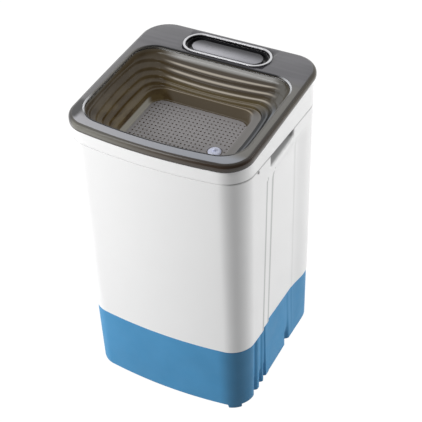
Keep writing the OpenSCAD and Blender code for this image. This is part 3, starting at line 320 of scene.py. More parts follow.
# %% Shade on the base
def shade_blue():
    """The upright corner at the right of the front turns away from both lamps."""
    x, y, _ = blue.axes()
    blue.give(Base_Color=blue.mix(0.30 * (x - y).over(0.366, 0.392), blue.color(), grey(0.0)))


shade_blue()


# %% [markdown]
# ## Smoke plastic
# The lid is one moulding of see-through smoked plastic. Real glass shaders would make it noisy,
# and the light that comes through its walls would have to find its way out again. So its colour
# is written by place instead: each tone function lays coats by height and side, among them
# painted highlights, painted reflections and painted shade, and a share of the colour glows by
# itself as painted light, standing in for the light that comes through the wall.

# %% The smoke finish
def smoke_finish(name, rough, coat, through, tone):
    """Smoke plastic. tone gives its colour; through is the share of it that glows as painted light."""
    finish = Finish(name, (0.08, 0.07, 0.05), rough, Coat_Weight=coat, Coat_Roughness=0.05,
                    Emission_Strength=1.0 if through else 0.0, Specular_IOR_Level=0.5 - 0.5 * through)
    color = tone(finish, *finish.axes())
    finish.give(Base_Color=color, Roughness=rough - 0.04 + 0.08 * finish.noise(7, 4))
    if through:
        finish.give(Base_Color=finish.mix(through, color, grey(0)),
                    Emission_Color=finish.mix(through, grey(0), color))
    return finish.bump(finish.noise(120, 2), 0.00004)


# %% Tones of the deck and the skirt
def deck_tone(finish, x, y, z):
    """Blue-grey deck, brown skirt, flow lines on the rear deck, and painted reflection and shade."""
    flow = finish.noise(3, 2, 0.5, finish.stretched(1.5, 22, 3)).over(0.3, 0.7)
    rear = finish.mix(flow, (0.078, 0.076, 0.086), (0.105, 0.102, 0.115))
    # The front strip is painted lighter and bluer: a painted reflection of the bright surroundings.
    front = finish.mix(x.over(-0.2, 0.15), (0.365, 0.365, 0.390), (0.262, 0.277, 0.312))
    # Painted shade darkens the lid's front-left tip.
    left_tip_shade = x.over(-0.190, -0.203) * within(y, -0.198, -0.145, 0.015)
    top = finish.layers(finish.mix(x.over(-0.1, 0.1), (0.135, 0.132, 0.138), (0.130, 0.124, 0.110)),
                        (y.over(0.08, 0.14), rear),
                        (y.over(-0.17, -0.20), front),
                        (left_tip_shade, (0.018, 0.018, 0.020)))
    # The skirt is painted darker towards the right and at its left end as shade, and two near-black painted
    # shade lines run along its top and its foot.
    skirt = finish.layers(finish.mix(x.over(-0.17, 0.05), (0.165, 0.160, 0.140), (0.085, 0.072, 0.058)),
                          (x.over(0.0, 0.18), (0.034, 0.022, 0.014)),
                          (y.over(-0.14, 0.05) * x.over(0, 0.1), (0.050, 0.040, 0.026)),
                          (x.over(-0.190, -0.212), (0.045, 0.044, 0.044)),
                          (0.6 * z.over(0.8125, 0.8150), NEAR_BLACK),
                          (0.8 * z.over(0.8025, 0.8005), NEAR_BLACK))
    return finish.mix(z.over(0.8168, 0.8162), top, skirt)


# %% Tones of the basin
# Painted highlight lines along the ridges: the height, width and share of each.
CREST_HIGHLIGHTS = ((0.7941, 0.0013, 1), (0.7827, 0.0016, 1), (0.7716, 0.0008, 1), (0.7630, 0.0008, 0.25))
# Bands of painted shade and painted highlight up the right wall: from a height, to a height, and the tone above
# it.
RIGHT_SHADE_AND_HIGHLIGHT = ((0.7570, 0.7578, (0.006, 0.007, 0.008)), (0.7619, 0.7622, (0.100, 0.105, 0.115)),
                (0.7625, 0.7627, (0.014, 0.016, 0.018)), (0.7712, 0.7716, (0.180, 0.195, 0.220)),
                (0.7726, 0.7736, (0.085, 0.087, 0.093)))
STEP_HEIGHT = STEP_Z * MM


def front_wall(finish, z):
    """Beige under the rim, brown among ridges, golden below; painted highlights on ridges and rim."""
    crest_highlights = sum(share * crest(z, height, width) for height, width, share in CREST_HIGHLIGHTS)
    return finish.layers(finish.mix(z.over(0.754, 0.758), (0.082, 0.065, 0.044), (0.082, 0.062, 0.030)),
                         (z.over(0.764, 0.782), (0.056, 0.044, 0.031)),
                         (z.over(0.7975, 0.8015), (0.300, 0.295, 0.285)),
                         (crest_highlights, (0.430, 0.385, 0.325)),
                         (crest(z, 0.7565, 0.0004), (0.30, 0.25, 0.19)))


def left_wall(finish, bands, x, y, z):
    """Golden below, brown above, and a painted reflection of the pale floor at the recess's front."""
    shares = bands.over(0.35, 0.65)
    # foot is a painted reflection: the floor's pale grey laid on the low front of the wall.
    foot = z.over(0.745, 0.739) * y.over(0.03, 0.01) * x.over(-0.12, -0.128)
    lower = finish.mix(shares, (0.038, 0.022, 0.006), (0.090, 0.064, 0.026))
    upper = finish.mix(shares, (0.040, 0.031, 0.021), (0.066, 0.053, 0.038))
    return finish.layers(lower,
                         (z.over(0.757, 0.796), upper),
                         (z.over(0.801, 0.806), (0.085, 0.078, 0.065)),
                         (0.6 * y.over(-0.10, 0.03), (0.048, 0.033, 0.014)),
                         (foot, (0.24, 0.23, 0.20)))


def basin_tone(finish, x, y, z):
    """Each wall has its own tones, because light comes through each of them in its own way."""
    bands = finish.noise(3, 3, 0.55, finish.stretched(16, 5, 16))
    rise = z - STEP_HEIGHT
    rear = finish.mix(bands.over(0.45, 0.62), (0.055, 0.048, 0.036), (0.105, 0.100, 0.090))
    # The right wall: a pale band in the floor's grey at its foot, then painted shade and painted highlight
    # bands up its ledges.
    right = finish.layers((0.175, 0.167, 0.160),
                          *((z.over(low, high), tone) for low, high, tone in RIGHT_SHADE_AND_HIGHLIGHT))
    return finish.layers(front_wall(finish, z),
                         (x.over(-0.085 - 0.25 * rise, -0.115 - 0.9 * rise), left_wall(finish, bands, x, y, z)),
                         (x.over(0.135, 0.175), rear),
                         (x.over(0.118, 0.136) * y.over(0.085, 0.03), right))


# %% Tones of the mouth's bead
def bead_tone(finish, x, y, z):
    """Painted shade in front and behind, painted highlights along the sides and at two corners."""
    # glint: painted highlights at the rear-right and front-left corners of the mouth.
    glint = x.over(0.15, 0.19) * y.over(0.06, 0.10) + x.over(-0.18, -0.20) * y.over(-0.10, -0.15)
    return finish.layers(finish.mix(within(y, -0.15, 0.08, 0.05), (0.012, 0.012, 0.014), (0.14, 0.135, 0.125)),
                         (glint, (0.55, 0.56, 0.58)))


smoke_bead = smoke_finish("smoke_bead", 0.35, 0.1, 0.3, bead_tone)
smoke_deck = smoke_finish("smoke_deck", 0.2, 0.5, 0.0, deck_tone)
smoke_deck.give(Coat_Weight=0.5 * smoke_deck.axes()[2].over(0.8150, 0.8166))
smoke_basin = smoke_finish("smoke_basin", 0.2, 0.2, 0.6, basin_tone)
print("smoke:", [name for name in Finish.made if name.startswith("smoke")])

# %% [markdown]
# ## Metal, rubber and the parts inside
# Turned steel has fine rings, cast alloy is grainy, paint is speckled and rubber is dull. Few of
# them are ever seen, but one shared grey would make shafts, castings and gaskets look alike.

# %% Metals and rubbers
def metal(name, color, rough, grain, depth, along=None):
    """A metal with a grain, drawn out along an axis where it is turned."""
    finish = Finish(name, color, rough, Metallic=1.0)
    lines = finish.noise(grain, 4, 0.6, finish.stretched(*along) if along else None)
    finish.give(Roughness=rough * 0.8 + rough * 0.5 * lines,
                Base_Color=finish.mix(lines, near(color, 0.88), near(color, 1.08)))
    return finish.bump(lines, depth)


def dull(name, color, rough, grain=400, depth=0.00006, **constants):
    """Paint, rubber and zinc: specks in the colour and in the gloss."""
    finish = Finish(name, color, rough, **constants)
    specks = finish.noise(grain, 3)
    finish.give(Base_Color=finish.mix(specks.over(0.35, 0.7), near(color, 0.85), near(color, 1.12)),
                Roughness=rough - 0.08 + 0.14 * specks)
    return finish.bump(specks, depth)


chrome = metal("chrome", (0.70, 0.70, 0.72), 0.32, 300, 0.0000002)
steel = metal("steel", (0.56, 0.56, 0.57), 0.28, 500, 0.00002, along=(1, 1, 8))
dark_steel = metal("dark_steel", (0.09, 0.09, 0.10), 0.4, 500, 0.00002)
alloy = metal("cast_alloy", (0.50, 0.50, 0.49), 0.5, 350, 0.00008)
brass = metal("brass", (0.60, 0.42, 0.18), 0.3, 500, 0.00002)
zinc = dull("zinc_screws", grey(0.50), 0.5)
silver = dull("silver_paint", (0.16, 0.16, 0.18), 0.3, 900, 0.000004)
motor_paint = dull("motor_paint", (0.10, 0.12, 0.14), 0.45, Coat_Weight=0.2)
rubber = dull("black_rubber", grey(0.018), 0.7)
valve_rubber = dull("valve_rubber", (0.42, 0.12, 0.04), 0.55)
board_green = dull("circuit_board", (0.02, 0.09, 0.035), 0.3, 120, 0.00002)
mat_grey = dull("grey_mat", (0.345, 0.33, 0.335), 0.45, 500, 0.00002)


# %% Shine on the control panel
def shine_silver():
    """The panel lies in a pit: its front half catches the light and its rear half is in shade."""
    x, y, _ = silver.axes()
    front = silver.mix(x.over(-0.05, 0.11), (0.50, 0.50, 0.54), (0.30, 0.30, 0.33))
    silver.give(Base_Color=silver.mix(y.over(0.160, 0.196), front, (0.022, 0.022, 0.027)))


shine_silver()
print("finishes:", len(Finish.made))

# %% [markdown]
# ## Outlines seen from above
# Cabinet, collar, lid and basin share one family of outlines: a rectangle with round corners
# whose front swells towards the user. Each piece is a stack of such loops at different heights.
# Points sit at the same places of every loop, so a stack can be skinned without twisting.

# %% Rising and spreading
CORNER, FRONT, REAR, PLAIN = 16, 26, 14, 40


def ease(t):
    t = min(1.0, max(0.0, t))
    return t * t * (3 - 2 * t)


def step(y, start, end):
    return ease((y - start) / (end - start))


def spread(a, b, n):
    return [a + (b - a) * i / (n + 1) for i in range(1, n + 1)]


# %% The outline of a loop
def quarter(cx, cy, r, start):
    turns = [math.radians(start + 90 * i / CORNER) for i in range(CORNER + 1)]
    return [(cx + r * math.cos(t), cy + r * math.sin(t)) for t in turns]


def outline(hw, yf, yr, rf, rr, side, bow=0, sbow=0, rbow=0):
    """Points (x, y) anticlockwise, from the front of the right side. side is a list of (y, inset)."""
    raw = [(hw - inset, y) for y, inset in side]
    raw += quarter(hw - rr, yr - rr, rr, 0) + [(x, yr) for x in spread(hw - rr, rr - hw, REAR)]
    raw += quarter(rr - hw, yr - rr, rr, 90) + [(inset - hw, y) for y, inset in reversed(side)]
    raw += quarter(rf - hw, yf + rf, rf, 180) + [(x, yf) for x in spread(rf - hw, hw - rf, FRONT)]
    raw += quarter(hw - rf, yf + rf, rf, 270)
    middle, half = (yf + yr) / 2, (yr - yf) / 2
    points = []
    for x, y in raw:
        s, a = (y - yf) / (yr - yf), abs(x) / hw
        swell = 1 - a * a
        forward, backward = max(0, (middle - y) / half), max(0, (y - middle) / half)
        points.append((x + math.copysign(a * sbow * 4 * s * (1 - s), x),
                       y - bow * forward * swell + rbow * backward * swell))
    return points


print("points of a plain loop:", 2 * PLAIN + 4 * (CORNER + 1) + FRONT + REAR)

# %% [markdown]
# ## Skins and solids
# A loft could be made with a modifier, but extruding the edges of a circle once for each loop
# keeps every point where it was put. Plain boxes, rods and prisms do for bosses and ears, and
# they also serve as the tools that cut doors and holes, with an exact Boolean.

# %% Closing a mesh
SHARP = 35


def loose_mesh(name, bm):
    """Welds, turns the faces outwards, and keeps edges sharper than SHARP degrees crisp."""
    bmesh.ops.remove_doubles(bm, verts=bm.verts, dist=0.000002)
    bmesh.ops.recalc_face_normals(bm, faces=bm.faces)
    mesh = bpy.data.meshes.new(name)
    bm.to_mesh(mesh)
    bm.free()
    mesh.shade_smooth()
    mesh.set_sharp_from_angle(angle=math.radians(SHARP))
    piece = bpy.data.objects.new(name, mesh)
    bpy.context.scene.collection.objects.link(piece)
    return piece


def carve(piece, build):
    """Cuts the shapes that build adds to a mesh out of the piece."""
    bm = bmesh.new()
    build(bm)
    tool = loose_mesh("tool", bm)
    change = piece.modifiers.new("carve", "BOOLEAN")
    change.operation, change.solver, change.object = "DIFFERENCE", "EXACT", tool
    done = bpy.data.meshes.new_from_object(piece.evaluated_get(bpy.context.evaluated_depsgraph_get()))
    piece.modifiers.clear()
    piece.data = done
    bpy.data.objects.remove(tool)


def finish_mesh(name, bm, body, finish, slot, *nodes, cuts=()):
    """Makes a piece, cuts it, gives it its finish and lets it ride on its body."""
    piece = loose_mesh(name, bm)
    for cut in cuts:
        carve(piece, cut)
    piece.data.materials.clear()
    piece.data.materials.append(finish.material)
    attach(piece, body)
    if nodes:
        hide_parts(*nodes)
    print(name + ":", len(piece.data.polygons), "faces")
    return piece


# %% Skin a stack of loops
def skin(name, loops, body, finish, slot, *nodes, cap=False, cuts=()):
    """Extrudes a circle's edges once for each loop. Without a cap, it ends on its first loop."""
    bm = bmesh.new()
    seat = bm.verts.layers.int.new("seat")
    ring = bmesh.ops.create_circle(bm, segments=len(loops[0]), radius=1, cap_ends=False)["verts"]
    for place, vert in enumerate(ring):
        vert[seat] = place
        vert.co = Vector(loops[0][place]) * MM
    edges = list(bm.edges)
    for loop in loops[1:] + ([] if cap else loops[:1]):
        made = bmesh.ops.extrude_edge_only(bm, edges=edges)["geom"]
        edges = [e for e in made if isinstance(e, bmesh.types.BMEdge)]
        for vert in (v for v in made if isinstance(v, bmesh.types.BMVert)):
            vert.co = Vector(loop[vert[seat]]) * MM
    if cap:
        bmesh.ops.contextual_create(bm, geom=edges)
    return finish_mesh(name, bm, body, finish, slot, *nodes, cuts=cuts)


# %% Solids to add and to cut with
def block(bm, low, high):
    """A box between two corners, in millimetres."""
    middle = (Vector(low) + Vector(high)) / 2 * MM
    size = (Vector(high) - Vector(low)) * MM
    bmesh.ops.create_cube(bm, size=1, matrix=Matrix.Translation(middle) @ Matrix.Diagonal((*size, 1)))


def rod(bm, start, end, radius, sides=48):
    start, end = Vector(start) * MM, Vector(end) * MM
    turn = (end - start).to_track_quat("Z", "Y").to_matrix().to_4x4()
    bmesh.ops.create_cone(bm, cap_ends=True, segments=sides, radius1=radius * MM, radius2=radius * MM,
                          depth=(end - start).length, matrix=Matrix.Translation((start + end) / 2) @ turn)


def prism(bm, points, along):
    """Extrudes a flat outline of 3-D points by a vector."""
    face = bm.faces.new([bm.verts.new(Vector(p) * MM) for p in points])
    made = bmesh.ops.extrude_face_region(bm, geom=[face])["geom"]
    top = [v for v in made if isinstance(v, bmesh.types.BMVert)]
    bmesh.ops.translate(bm, verts=top, vec=Vector(along) * MM)


def pill(length, width, z, turns=24):
    """A slot shape, long in X, round the middle of the control bay."""
    reach, r = (length - width) / 2, width / 2
    return [(side * reach + r * math.cos(math.radians(start + 180 * i / turns)),
             BAY_Y + r * math.sin(math.radians(start + 180 * i / turns)), z)
            for side, start in ((1, -90), (-1, 90)) for i in range(turns + 1)]


# %% [markdown]
# ## The body's walls
# The walls lean in by a few millimetres towards the floor, and the two seams slope down to the
# rear. Panels, grooves and the grip pockets could be cut with Booleans, but their edges would be
# sharp. They are all depths in the side wall instead, so one function gives the depth at any
# point, with eased edges.

# %% Lean, seams and the depths of the sides
GROOVES = [(-155, 12, 9), (-124, 11, 9), (-96, 9, 6), (40, 16, 12)]
PANEL_STEPS = (-100, -63)


def lean(z):
    return DRAFT * max(0, SEAM_HIGH - z) / (SEAM_HIGH - FOOT_H)


def fall(y):
    """How far a seam has come down at a depth."""
    return DROP * min(1, max(0, (y - Y_FRONT) / BODY_D))


def groove(y):
    """Each groove starts steeply, runs flat and climbs out again over a slope."""
    return sum(step(y, g, g + 2) - step(y, g + 2 + flat, g + 2 + flat + slope) for g, flat, slope in GROOVES)


def panel(y):
    """Two steps in, and a slow way out with a small ledge before it."""
    into = sum(0.5 * step(y, start, start + 2) for start in PANEL_STEPS)
    return into - 0.16 * step(y, 82, 91) - 0.84 * step(y, 88, 152)


def crease(y):
    """A fine groove at the foot of each step of the panel."""
    return sum(step(y, start + 0.4, start + 1.4) - step(y, start + 3.2, start + 4.4)
               for start in PANEL_STEPS)


def slant(y, z):
    """The two front steps lean back as they rise, up to the grip."""
    near_steps = step(y, -150, -102) * (1 - step(y, -52, 20))
    reach = (17 if y < -80 else 20) * min(1, max(0, (z - SEAM_LOW) / 470))
    return reach * (1 - step(z, 690, 712)) * near_steps


# %% Where the points of a side lie
def side_places():
    """Closely spaced points where the wall bends, and wide ones between."""
    marks = [84, 85.4, 86, 87, 88, 89, 90, 91, 92, 93, 94, 94.6, 96]
    for start, flat, slope in GROOVES:
        end = start + 2 + flat
        marks += [m + d for m in (start, end) for d in (-0.4, 0.4, 1, 1.6, 2.4)]
        marks += [end + slope * k / 4 for k in range(1, 5)]
    marks += [m + d for m in PANEL_STEPS for d in (-0.5, 0, 0.5, 1, 1.5, 2, 2.6, 3.2, 3.8, 4.4, 5)]
    marks += [GRIP_FRONT + d for d in (-2, -1, 0, 1, 2, 3.5, 5, 7)]
    marks += [GRIP_REAR + d for d in (-31, -28, -25, -22, -19, -16, -13, -10, -7, -4, -2, 0, 2)]
    places = sorted(set(marks) | {SIDE_START + 8 * i for i in range(1, 39)})
    kept = [places[0]]
    for y in places[1:]:
        if y - kept[-1] > 0.35:
            kept.append(y)
    return [y for y in kept if SIDE_START + 0.5 < y < SIDE_END - 0.5]


SIDE = side_places()


# %% A loop of the body
def body_loop(g, z, drop=0, depth=lambda y, z: 0, side=None):
    """A loop of the body, grown by g. z is a height at the front, or a function of the depth."""
    level = z if callable(z) else (lambda y: z - drop * fall(y))
    i = g - lean(level(0))
    walls = [(y + (0 if side else slant(y, level(y))), depth(y, level(y))) for y in (side or SIDE)]
    ring = outline(BODY_W / 2 + i, Y_FRONT - i, Y_REAR + i, FRONT_R + i, REAR_R + i, walls, FRONT_BOW, SIDE_BOW)
    return [(x, y, level(y)) for x, y in ring]


def plain_loop(g, z, drop=0):
    return body_loop(g, z, drop, side=spread(SIDE_START, SIDE_END, PLAIN))


print("points down each side:", len(SIDE))

# %% [markdown]
# ## Cabinet
# The cabinet is one white shell. Its two seams run parallel, so every loop between them slopes
# the same way, and the loops crowd together round the grip pocket, where the wall bends most.
# The inner face is the same stack again, a wall's thickness further in.

# %% Depth of the cabinet's wall
PANEL_DEPTH, CREASE_DEPTH, CEILING_DEPTH = 8, 2.6, 3.6


def pocket(y, z):
    """1 inside the grip pocket and 0 outside it, with a corner rounded at its lower front."""
    low = GRIP_LOW - 3 + 3 * step(y, GRIP_REAR - 34, GRIP_REAR)
    low += 4 * (1 - step(y, GRIP_FRONT - 1, GRIP_FRONT + 8))
    across = step(y, GRIP_FRONT - 1, GRIP_FRONT + 1.2) * (1 - step(y, GRIP_REAR - 16, GRIP_REAR + 1))
    return across * step(z, low - 1, low + 12)


def cabinet_depth(y, z):
    """Panel and creases end below the grip, and the pocket takes over where it opens."""
    panels = PANEL_DEPTH * panel(y) * (1 - step(z, 664, 702))
    panels += CREASE_DEPTH * crease(y) * (1 - step(z, 684, 700))
    cup = pocket(y, z)
    hollow = GRIP_DEPTH if z < SEAM_HIGH - fall(y) - 3 else CEILING_DEPTH
    return panels * (1 - cup) + hollow * cup


# %% Skin the cabinet
OUTER_HEIGHTS = ([0, 0.5, 1.2, 3, 8, 20, 60, 120, 180, 240, 300, 350, 400, 430, 445, 452, 458, 464, 470, 476]
                 + [482, 488] + [490 + 2 * i for i in range(23)]
                 + [537, 539, 540.5, 541.5, 542.2, 543, 543.6, 543.9, 544.1])
INNER_HEIGHTS = (544.1, 542.2, 541.5, 536, 528, 520, 512, 506, 502, 498, 494, 490, 470, 452, 430, 300, 120, 2)


def cabinet_loops():
    wall = []
    for h in OUTER_HEIGHTS:
        round_off = 0.9 * (1 - ease(h / 1.2)) + 0.5 * ease((h - 543.6) / 0.5)
        wall.append(body_loop(-round_off, SEAM_LOW + h, 1, cabinet_depth))
    return wall + [body_loop(-WALL, SEAM_LOW + h, 1, cabinet_depth) for h in INNER_HEIGHTS]


skin("cabinet_shell", cabinet_loops(), "machine", white, "white_plastic", "cabinet")

# %% [markdown]
# ## Base
# The blue base carries the cabinet. Its upright grooves run out at the bottom edge, which gives
# the edge its teeth, and a lip stands up inside the cabinet's edge. The loops slope with the
# seam at the top and lie level at the floor, so the heights between are shares of the way up.

# %% Skin the base
OUTER_SHARES = (0, 0.004, 0.009, 0.02, 0.06, 0.15, 0.3, 0.45, 0.6, 0.75, 0.88, 0.96, 0.992, 0.998)
LIP = ((-3.3, 0.9), (-3.3, 12), (-5.5, 12), (-5.5, 3))
INNER_SHARES = (0.97, 0.6, 0.3, 0.1, 0.01)
GROOVE_DEPTH = 10


def base_depth(y, z):
    """The grooves are deepest at the bottom edge and grow shallow above it, the rear one most."""
    left = 1.2 if y > 0 else 5.5 if y < -130 else 3.2
    deep = GROOVE_DEPTH + (left - GROOVE_DEPTH) * step(z, 22, 82)
    return deep * groove(y) + (2 + (PANEL_DEPTH - 2) * min(1, (z - FOOT_H) / 200)) * panel(y)


def base_level(share):
    return lambda y: FOOT_H + (SEAM_LOW - fall(y) - FOOT_H) * share


def lip_loop(g, rise):
    """A loop above the seam, where the sides have their panel but no grooves."""
    return body_loop(g, lambda y: SEAM_LOW - fall(y) + rise, 1, lambda y, z: PANEL_DEPTH * panel(y))


def base_loops():
    wall = []
    for s in OUTER_SHARES:
        round_off = 1.4 * (1 - ease(s / 0.008)) + 0.8 * ease((s - 0.99) / 0.01)
        wall.append(body_loop(-1.5 - round_off, base_level(s), 1, base_depth))
    wall += [lip_loop(*spot) for spot in LIP]
    return wall + [body_loop(-4.5, base_level(s), 1, base_depth) for s in INNER_SHARES]


# %% Doors of the base
def base_rear(z):
    return Y_REAR - lean(z) - 1.5


BAYS, BAY_FLOOR = (-110, 110), base_rear(74) - 26
BAY_HALF, BAY_LOW, BAY_HIGH = 30, 28, 104
COVER_HALF, COVER_LOW, COVER_HIGH = 67, 52, 140
OUTSIDE = 260


def bay_rooms(bm):
    for x in BAYS:
        block(bm, (x - BAY_HALF, BAY_FLOOR, BAY_LOW), (x + BAY_HALF, OUTSIDE, BAY_HIGH))


def base_doors(bm):
    """The bays, and the opening under the service cover."""
    bay_rooms(bm)
    block(bm, (-COVER_HALF, 200, COVER_LOW), (COVER_HALF, OUTSIDE, COVER_HIGH))


skin("base_shell", base_loops(), "machine", blue, "blue_plastic", "base", cuts=[base_doors])

# %% Floor, posts and bays of the base
FOOT_SPOTS = [(x, y) for x in (-180.5, 180.5) for y in (-169, 178)]
POST_SPOTS = [(x, y) for x in (-160, 160) for y in (-146, 104)]
FLOOR_Z, FLOOR_THICK = 24, 4
VENT_PITCH, VENT_HALF, VENT_FROM, VENT_TO = 16, 4, -11, 79


def floor_holes(bm):
    """Seven vents in front of the motor and a screw hole over each foot."""
    low, high = FLOOR_Z - 4, FLOOR_Z + FLOOR_THICK + 4
    for x in (VENT_PITCH * i for i in range(-3, 4)):
        block(bm, (x - VENT_HALF, VENT_FROM, low), (x + VENT_HALF, VENT_TO, high))
    for x, y in FOOT_SPOTS:
        rod(bm, (x, y, low), (x, y, high), 4.1)


def base_floor():
    bm = bmesh.new()
    prism(bm, body_loop(-3, lambda y: FLOOR_Z, 0, base_depth), (0, 0, FLOOR_THICK))
    finish_mesh("base_floor", bm, "machine", blue, "blue_plastic", cuts=[floor_holes])


def base_posts():
    """Four tall posts for the tub and a short boss over each foot."""
    bm = bmesh.new()
    for x, y in POST_SPOTS:
        rod(bm, (x, y, 27), (x, y, 226.8), 14)
    for x, y in FOOT_SPOTS:
        rod(bm, (x, y, 27.5), (x, y, 40), 12)
    finish_mesh("base_posts", bm, "machine", blue, "blue_plastic")


def base_bays():
    """The two boxes at the rear that the outlet and the gland sit in."""
    bm = bmesh.new()
    half, rear = BAY_HALF + WALL, base_rear(FOOT_H) - 1.5
    for x in BAYS:
        block(bm, (x - half, BAY_FLOOR - WALL, BAY_LOW - 2), (x + half, rear, BAY_HIGH + WALL))
    finish_mesh("base_bays", bm, "machine", blue, "blue_plastic", cuts=[bay_rooms])


base_floor()
base_posts()
base_bays()

# %% [markdown]
# ## Collar
# The collar is the white ring between the cabinet and the lid. Under the lid it turns in, forms a
# shelf and drops into the tub as a funnel. Its outside follows the body and its funnel follows
# the basin, and since both kinds of loop have as many points, one skin joins them.

# %% Loops of the basin
def basin_loop(u, z, swell=0, g=0):
    """Loops that shrink from the mouth, at u = 0, to the floor recess, at u = 1, grown by g."""
    def between(mouth, recess):
        return mouth + (recess - mouth) * u

    hw, r = between(MOUTH_HW, RECESS_HW) + g, between(MOUTH_R, RECESS_R) + g
    yf, yr = between(MOUTH_FRONT + 5, RECESS_FRONT) - g, between(MOUTH_REAR, RECESS_REAR) + g
    side = [(y, 0) for y in spread(yf + r, yr - r, PLAIN)]
    ring = outline(hw, yf, yr, r, r, side, FRONT_BOW * (1 - u) - swell * 0.5, -swell * 0.6, -swell)
    return [(x, y, z) for x, y in ring]


# %% Skin the collar
SHELF, FUNNEL = 803, 748
EAR_AT, EAR_HALF, EAR_R, KNUCKLE_HALF = 15.3, 4, 4.2, 11


def collar_loops():
    """Up the outside, over the rim and down inside the lid, then the funnel and the way back."""
    outside = [(0, 761, 1), (0.3, 761, 1), (0.5, 761.5, 1), (0.3, 765, 1), (0, 780), (0, 797), (-0.4, 798.6),
               (-1.4, 799.5), (-4, 799.6), (-4, 799.9), (-4, 813), (-4.6, 813.6), (-6.4, 813.6), (-7, 813),
               (-8, 803.4), (-8.6, 803)]
    funnel = [(0, SHELF, 7), (0, SHELF - 1, 6), (0, SHELF - 7, 5.4), (0.1, 775, 5.4), (0.2, FUNNEL + 1, 6),
              (0.2, FUNNEL, 7), (0.2, FUNNEL, 9), (0, SHELF - 9, 9)]
    back = [(-9, 797), (-6, 792), (-6, 748, 1), (-3.6, 748, 1), (-3.6, 761, 1)]
    return ([plain_loop(*spot) for spot in outside] + [basin_loop(u, z, g=g) for u, z, g in funnel]
            + [plain_loop(*spot) for spot in back])


def collar_cuts(bm):
    """Room for the control pit, the lid's knuckles and the ceilings of the grips."""
    prism(bm, pill(216.6, 66.6, 790), (0, 0, 40))
    low, high, room = GRIP_FRONT - 4, GRIP_REAR + 4, KNUCKLE_HALF + 0.3
    for side in (-1, 1):
        x = side * HINGE_X
        rod(bm, (x - room, HINGE_Y, HINGE_Z), (x + room, HINGE_Y, HINGE_Z), 8.75)
        corners = [(low, 710), (high, 710), (high, SEAM_HIGH - fall(high) - 0.3),
                   (low, SEAM_HIGH - fall(low) - 0.3)]
        prism(bm, [(side * 203.5, y, z) for y, z in corners], (side * 30, 0, 0))


def hinge_ears():
    """The collar's hinge ears, two round each knuckle of the lid."""
    bm = bmesh.new()
    for x in (side * HINGE_X + ear for side in (-1, 1) for ear in (-EAR_AT, EAR_AT)):
        low, high = x - EAR_HALF, x + EAR_HALF
        rod(bm, (low, HINGE_Y, HINGE_Z), (high, HINGE_Y, HINGE_Z), EAR_R)
        block(bm, (low, HINGE_Y - EAR_R, HINGE_Z - 6), (high, HINGE_Y + 3.2, HINGE_Z))
    finish_mesh("hinge_ears", bm, "machine", white, "white_plastic")


skin("collar_shell", collar_loops(), "machine", white, "white_plastic", "top_collar", cuts=[collar_cuts])
hinge_ears()

# %% [markdown]
# ## Lid frame
# The lid's deck turns down in a rounded skirt, which is drawn as part of an ellipse. The corners
# are tighter than the body's, so the skirt overhangs the collar a little more there. A thin bead
# runs round the mouth, where the deck rolls over into the basin.

# %% Loops of the lid
SKIRT_INSET, SKIRT_DROP, SKIRT_TURNS = 8, 11, 10


def skirt_foot(rise):
    """The skirt hangs a little lower in front, where it hides the collar's edge."""
    return lambda y: SKIRT_Z + rise - 2.8 * (1 - step(y, -150, 0))


def lid_loop(g, z):
    """z is a height, or a function of the depth."""
    sides = [(y, 0) for y in spread(Y_FRONT + LID_FRONT_R, Y_REAR - LID_REAR_R, PLAIN)]
    ring = outline(BODY_W / 2 + g, Y_FRONT - g, Y_REAR + g, LID_FRONT_R + g, LID_REAR_R + g, sides,
                   FRONT_BOW, SIDE_BOW)
    return [(x, y, z(y) if callable(z) else z) for x, y in ring]


def lid_outside():
    """Up the skirt, round its edge, across the deck and over into the mouth."""
    loops = [lid_loop(LID_OVER - inset, skirt_foot(rise)) for inset, rise in ((1.2, 0), (0.3, 0.3), (0, 1.2))]
    for i in range(SKIRT_TURNS):
        turn = math.radians(8 * i)
        loops.append(lid_loop(LID_OVER - SKIRT_INSET * (1 - math.cos(turn)) / 0.69,
                              DECK_Z - 0.8 - SKIRT_DROP * (1 - math.sin(turn) / 0.951)))
    loops += [lid_loop(LID_OVER - 9, DECK_Z - 0.2), lid_loop(LID_OVER - 10, DECK_Z)]
    loops += [basin_loop(0, DECK_Z, g=9), basin_loop(0, DECK_Z, g=5)]
    for i in range(1, 7):
        turn = math.radians(15 * i)
        loops.append(basin_loop(0, DECK_Z - 4 * (1 - math.cos(turn)), g=4 - 4 * math.sin(turn)))
    return loops


def lid_underside():
    return [basin_loop(0, DECK_Z - 4.5), basin_loop(0, DECK_Z - 4.5, g=2.6), lid_loop(LID_OVER - 12, 813),
            lid_loop(LID_OVER - 6, 809), lid_loop(LID_OVER - 3, 804), lid_loop(LID_OVER - 2, skirt_foot(1))]


# %% Skin the lid and its bead
def ring_hole(bm):
    prism(bm, pill(RING_LENGTH - 6, RING_WIDTH - 6, 805), (0, 0, 20))


def knuckles():
    """What the hinge pins run through, one between each pair of ears."""
    bm = bmesh.new()
    for x in (-HINGE_X, HINGE_X):
        low, high = x - KNUCKLE_HALF, x + KNUCKLE_HALF
        rod(bm, (low, HINGE_Y, HINGE_Z), (high, HINGE_Y, HINGE_Z), EAR_R)
        block(bm, (low, HINGE_Y, HINGE_Z), (high, Y_REAR + LID_OVER - 0.4, SKIRT_Z + 1))
    finish_mesh("hinge_knuckles", bm, "lid", smoke_deck, "smoke_plastic")


def bead_loops(g, z, r, sides=10):
    """A thin round bead along the mouth."""
    turns = [2 * math.pi * i / sides for i in range(sides)]
    return [basin_loop(0, z + r * math.sin(t), g=g + r * math.cos(t)) for t in turns]


skin("lid_deck", lid_outside() + lid_underside(), "lid", smoke_deck, "smoke_plastic", "lid_frame",
     cuts=[ring_hole])
knuckles()
skin("mouth_bead", bead_loops(2.4, DECK_Z - 1.8, 2.5), "lid", smoke_bead, "smoke_plastic")

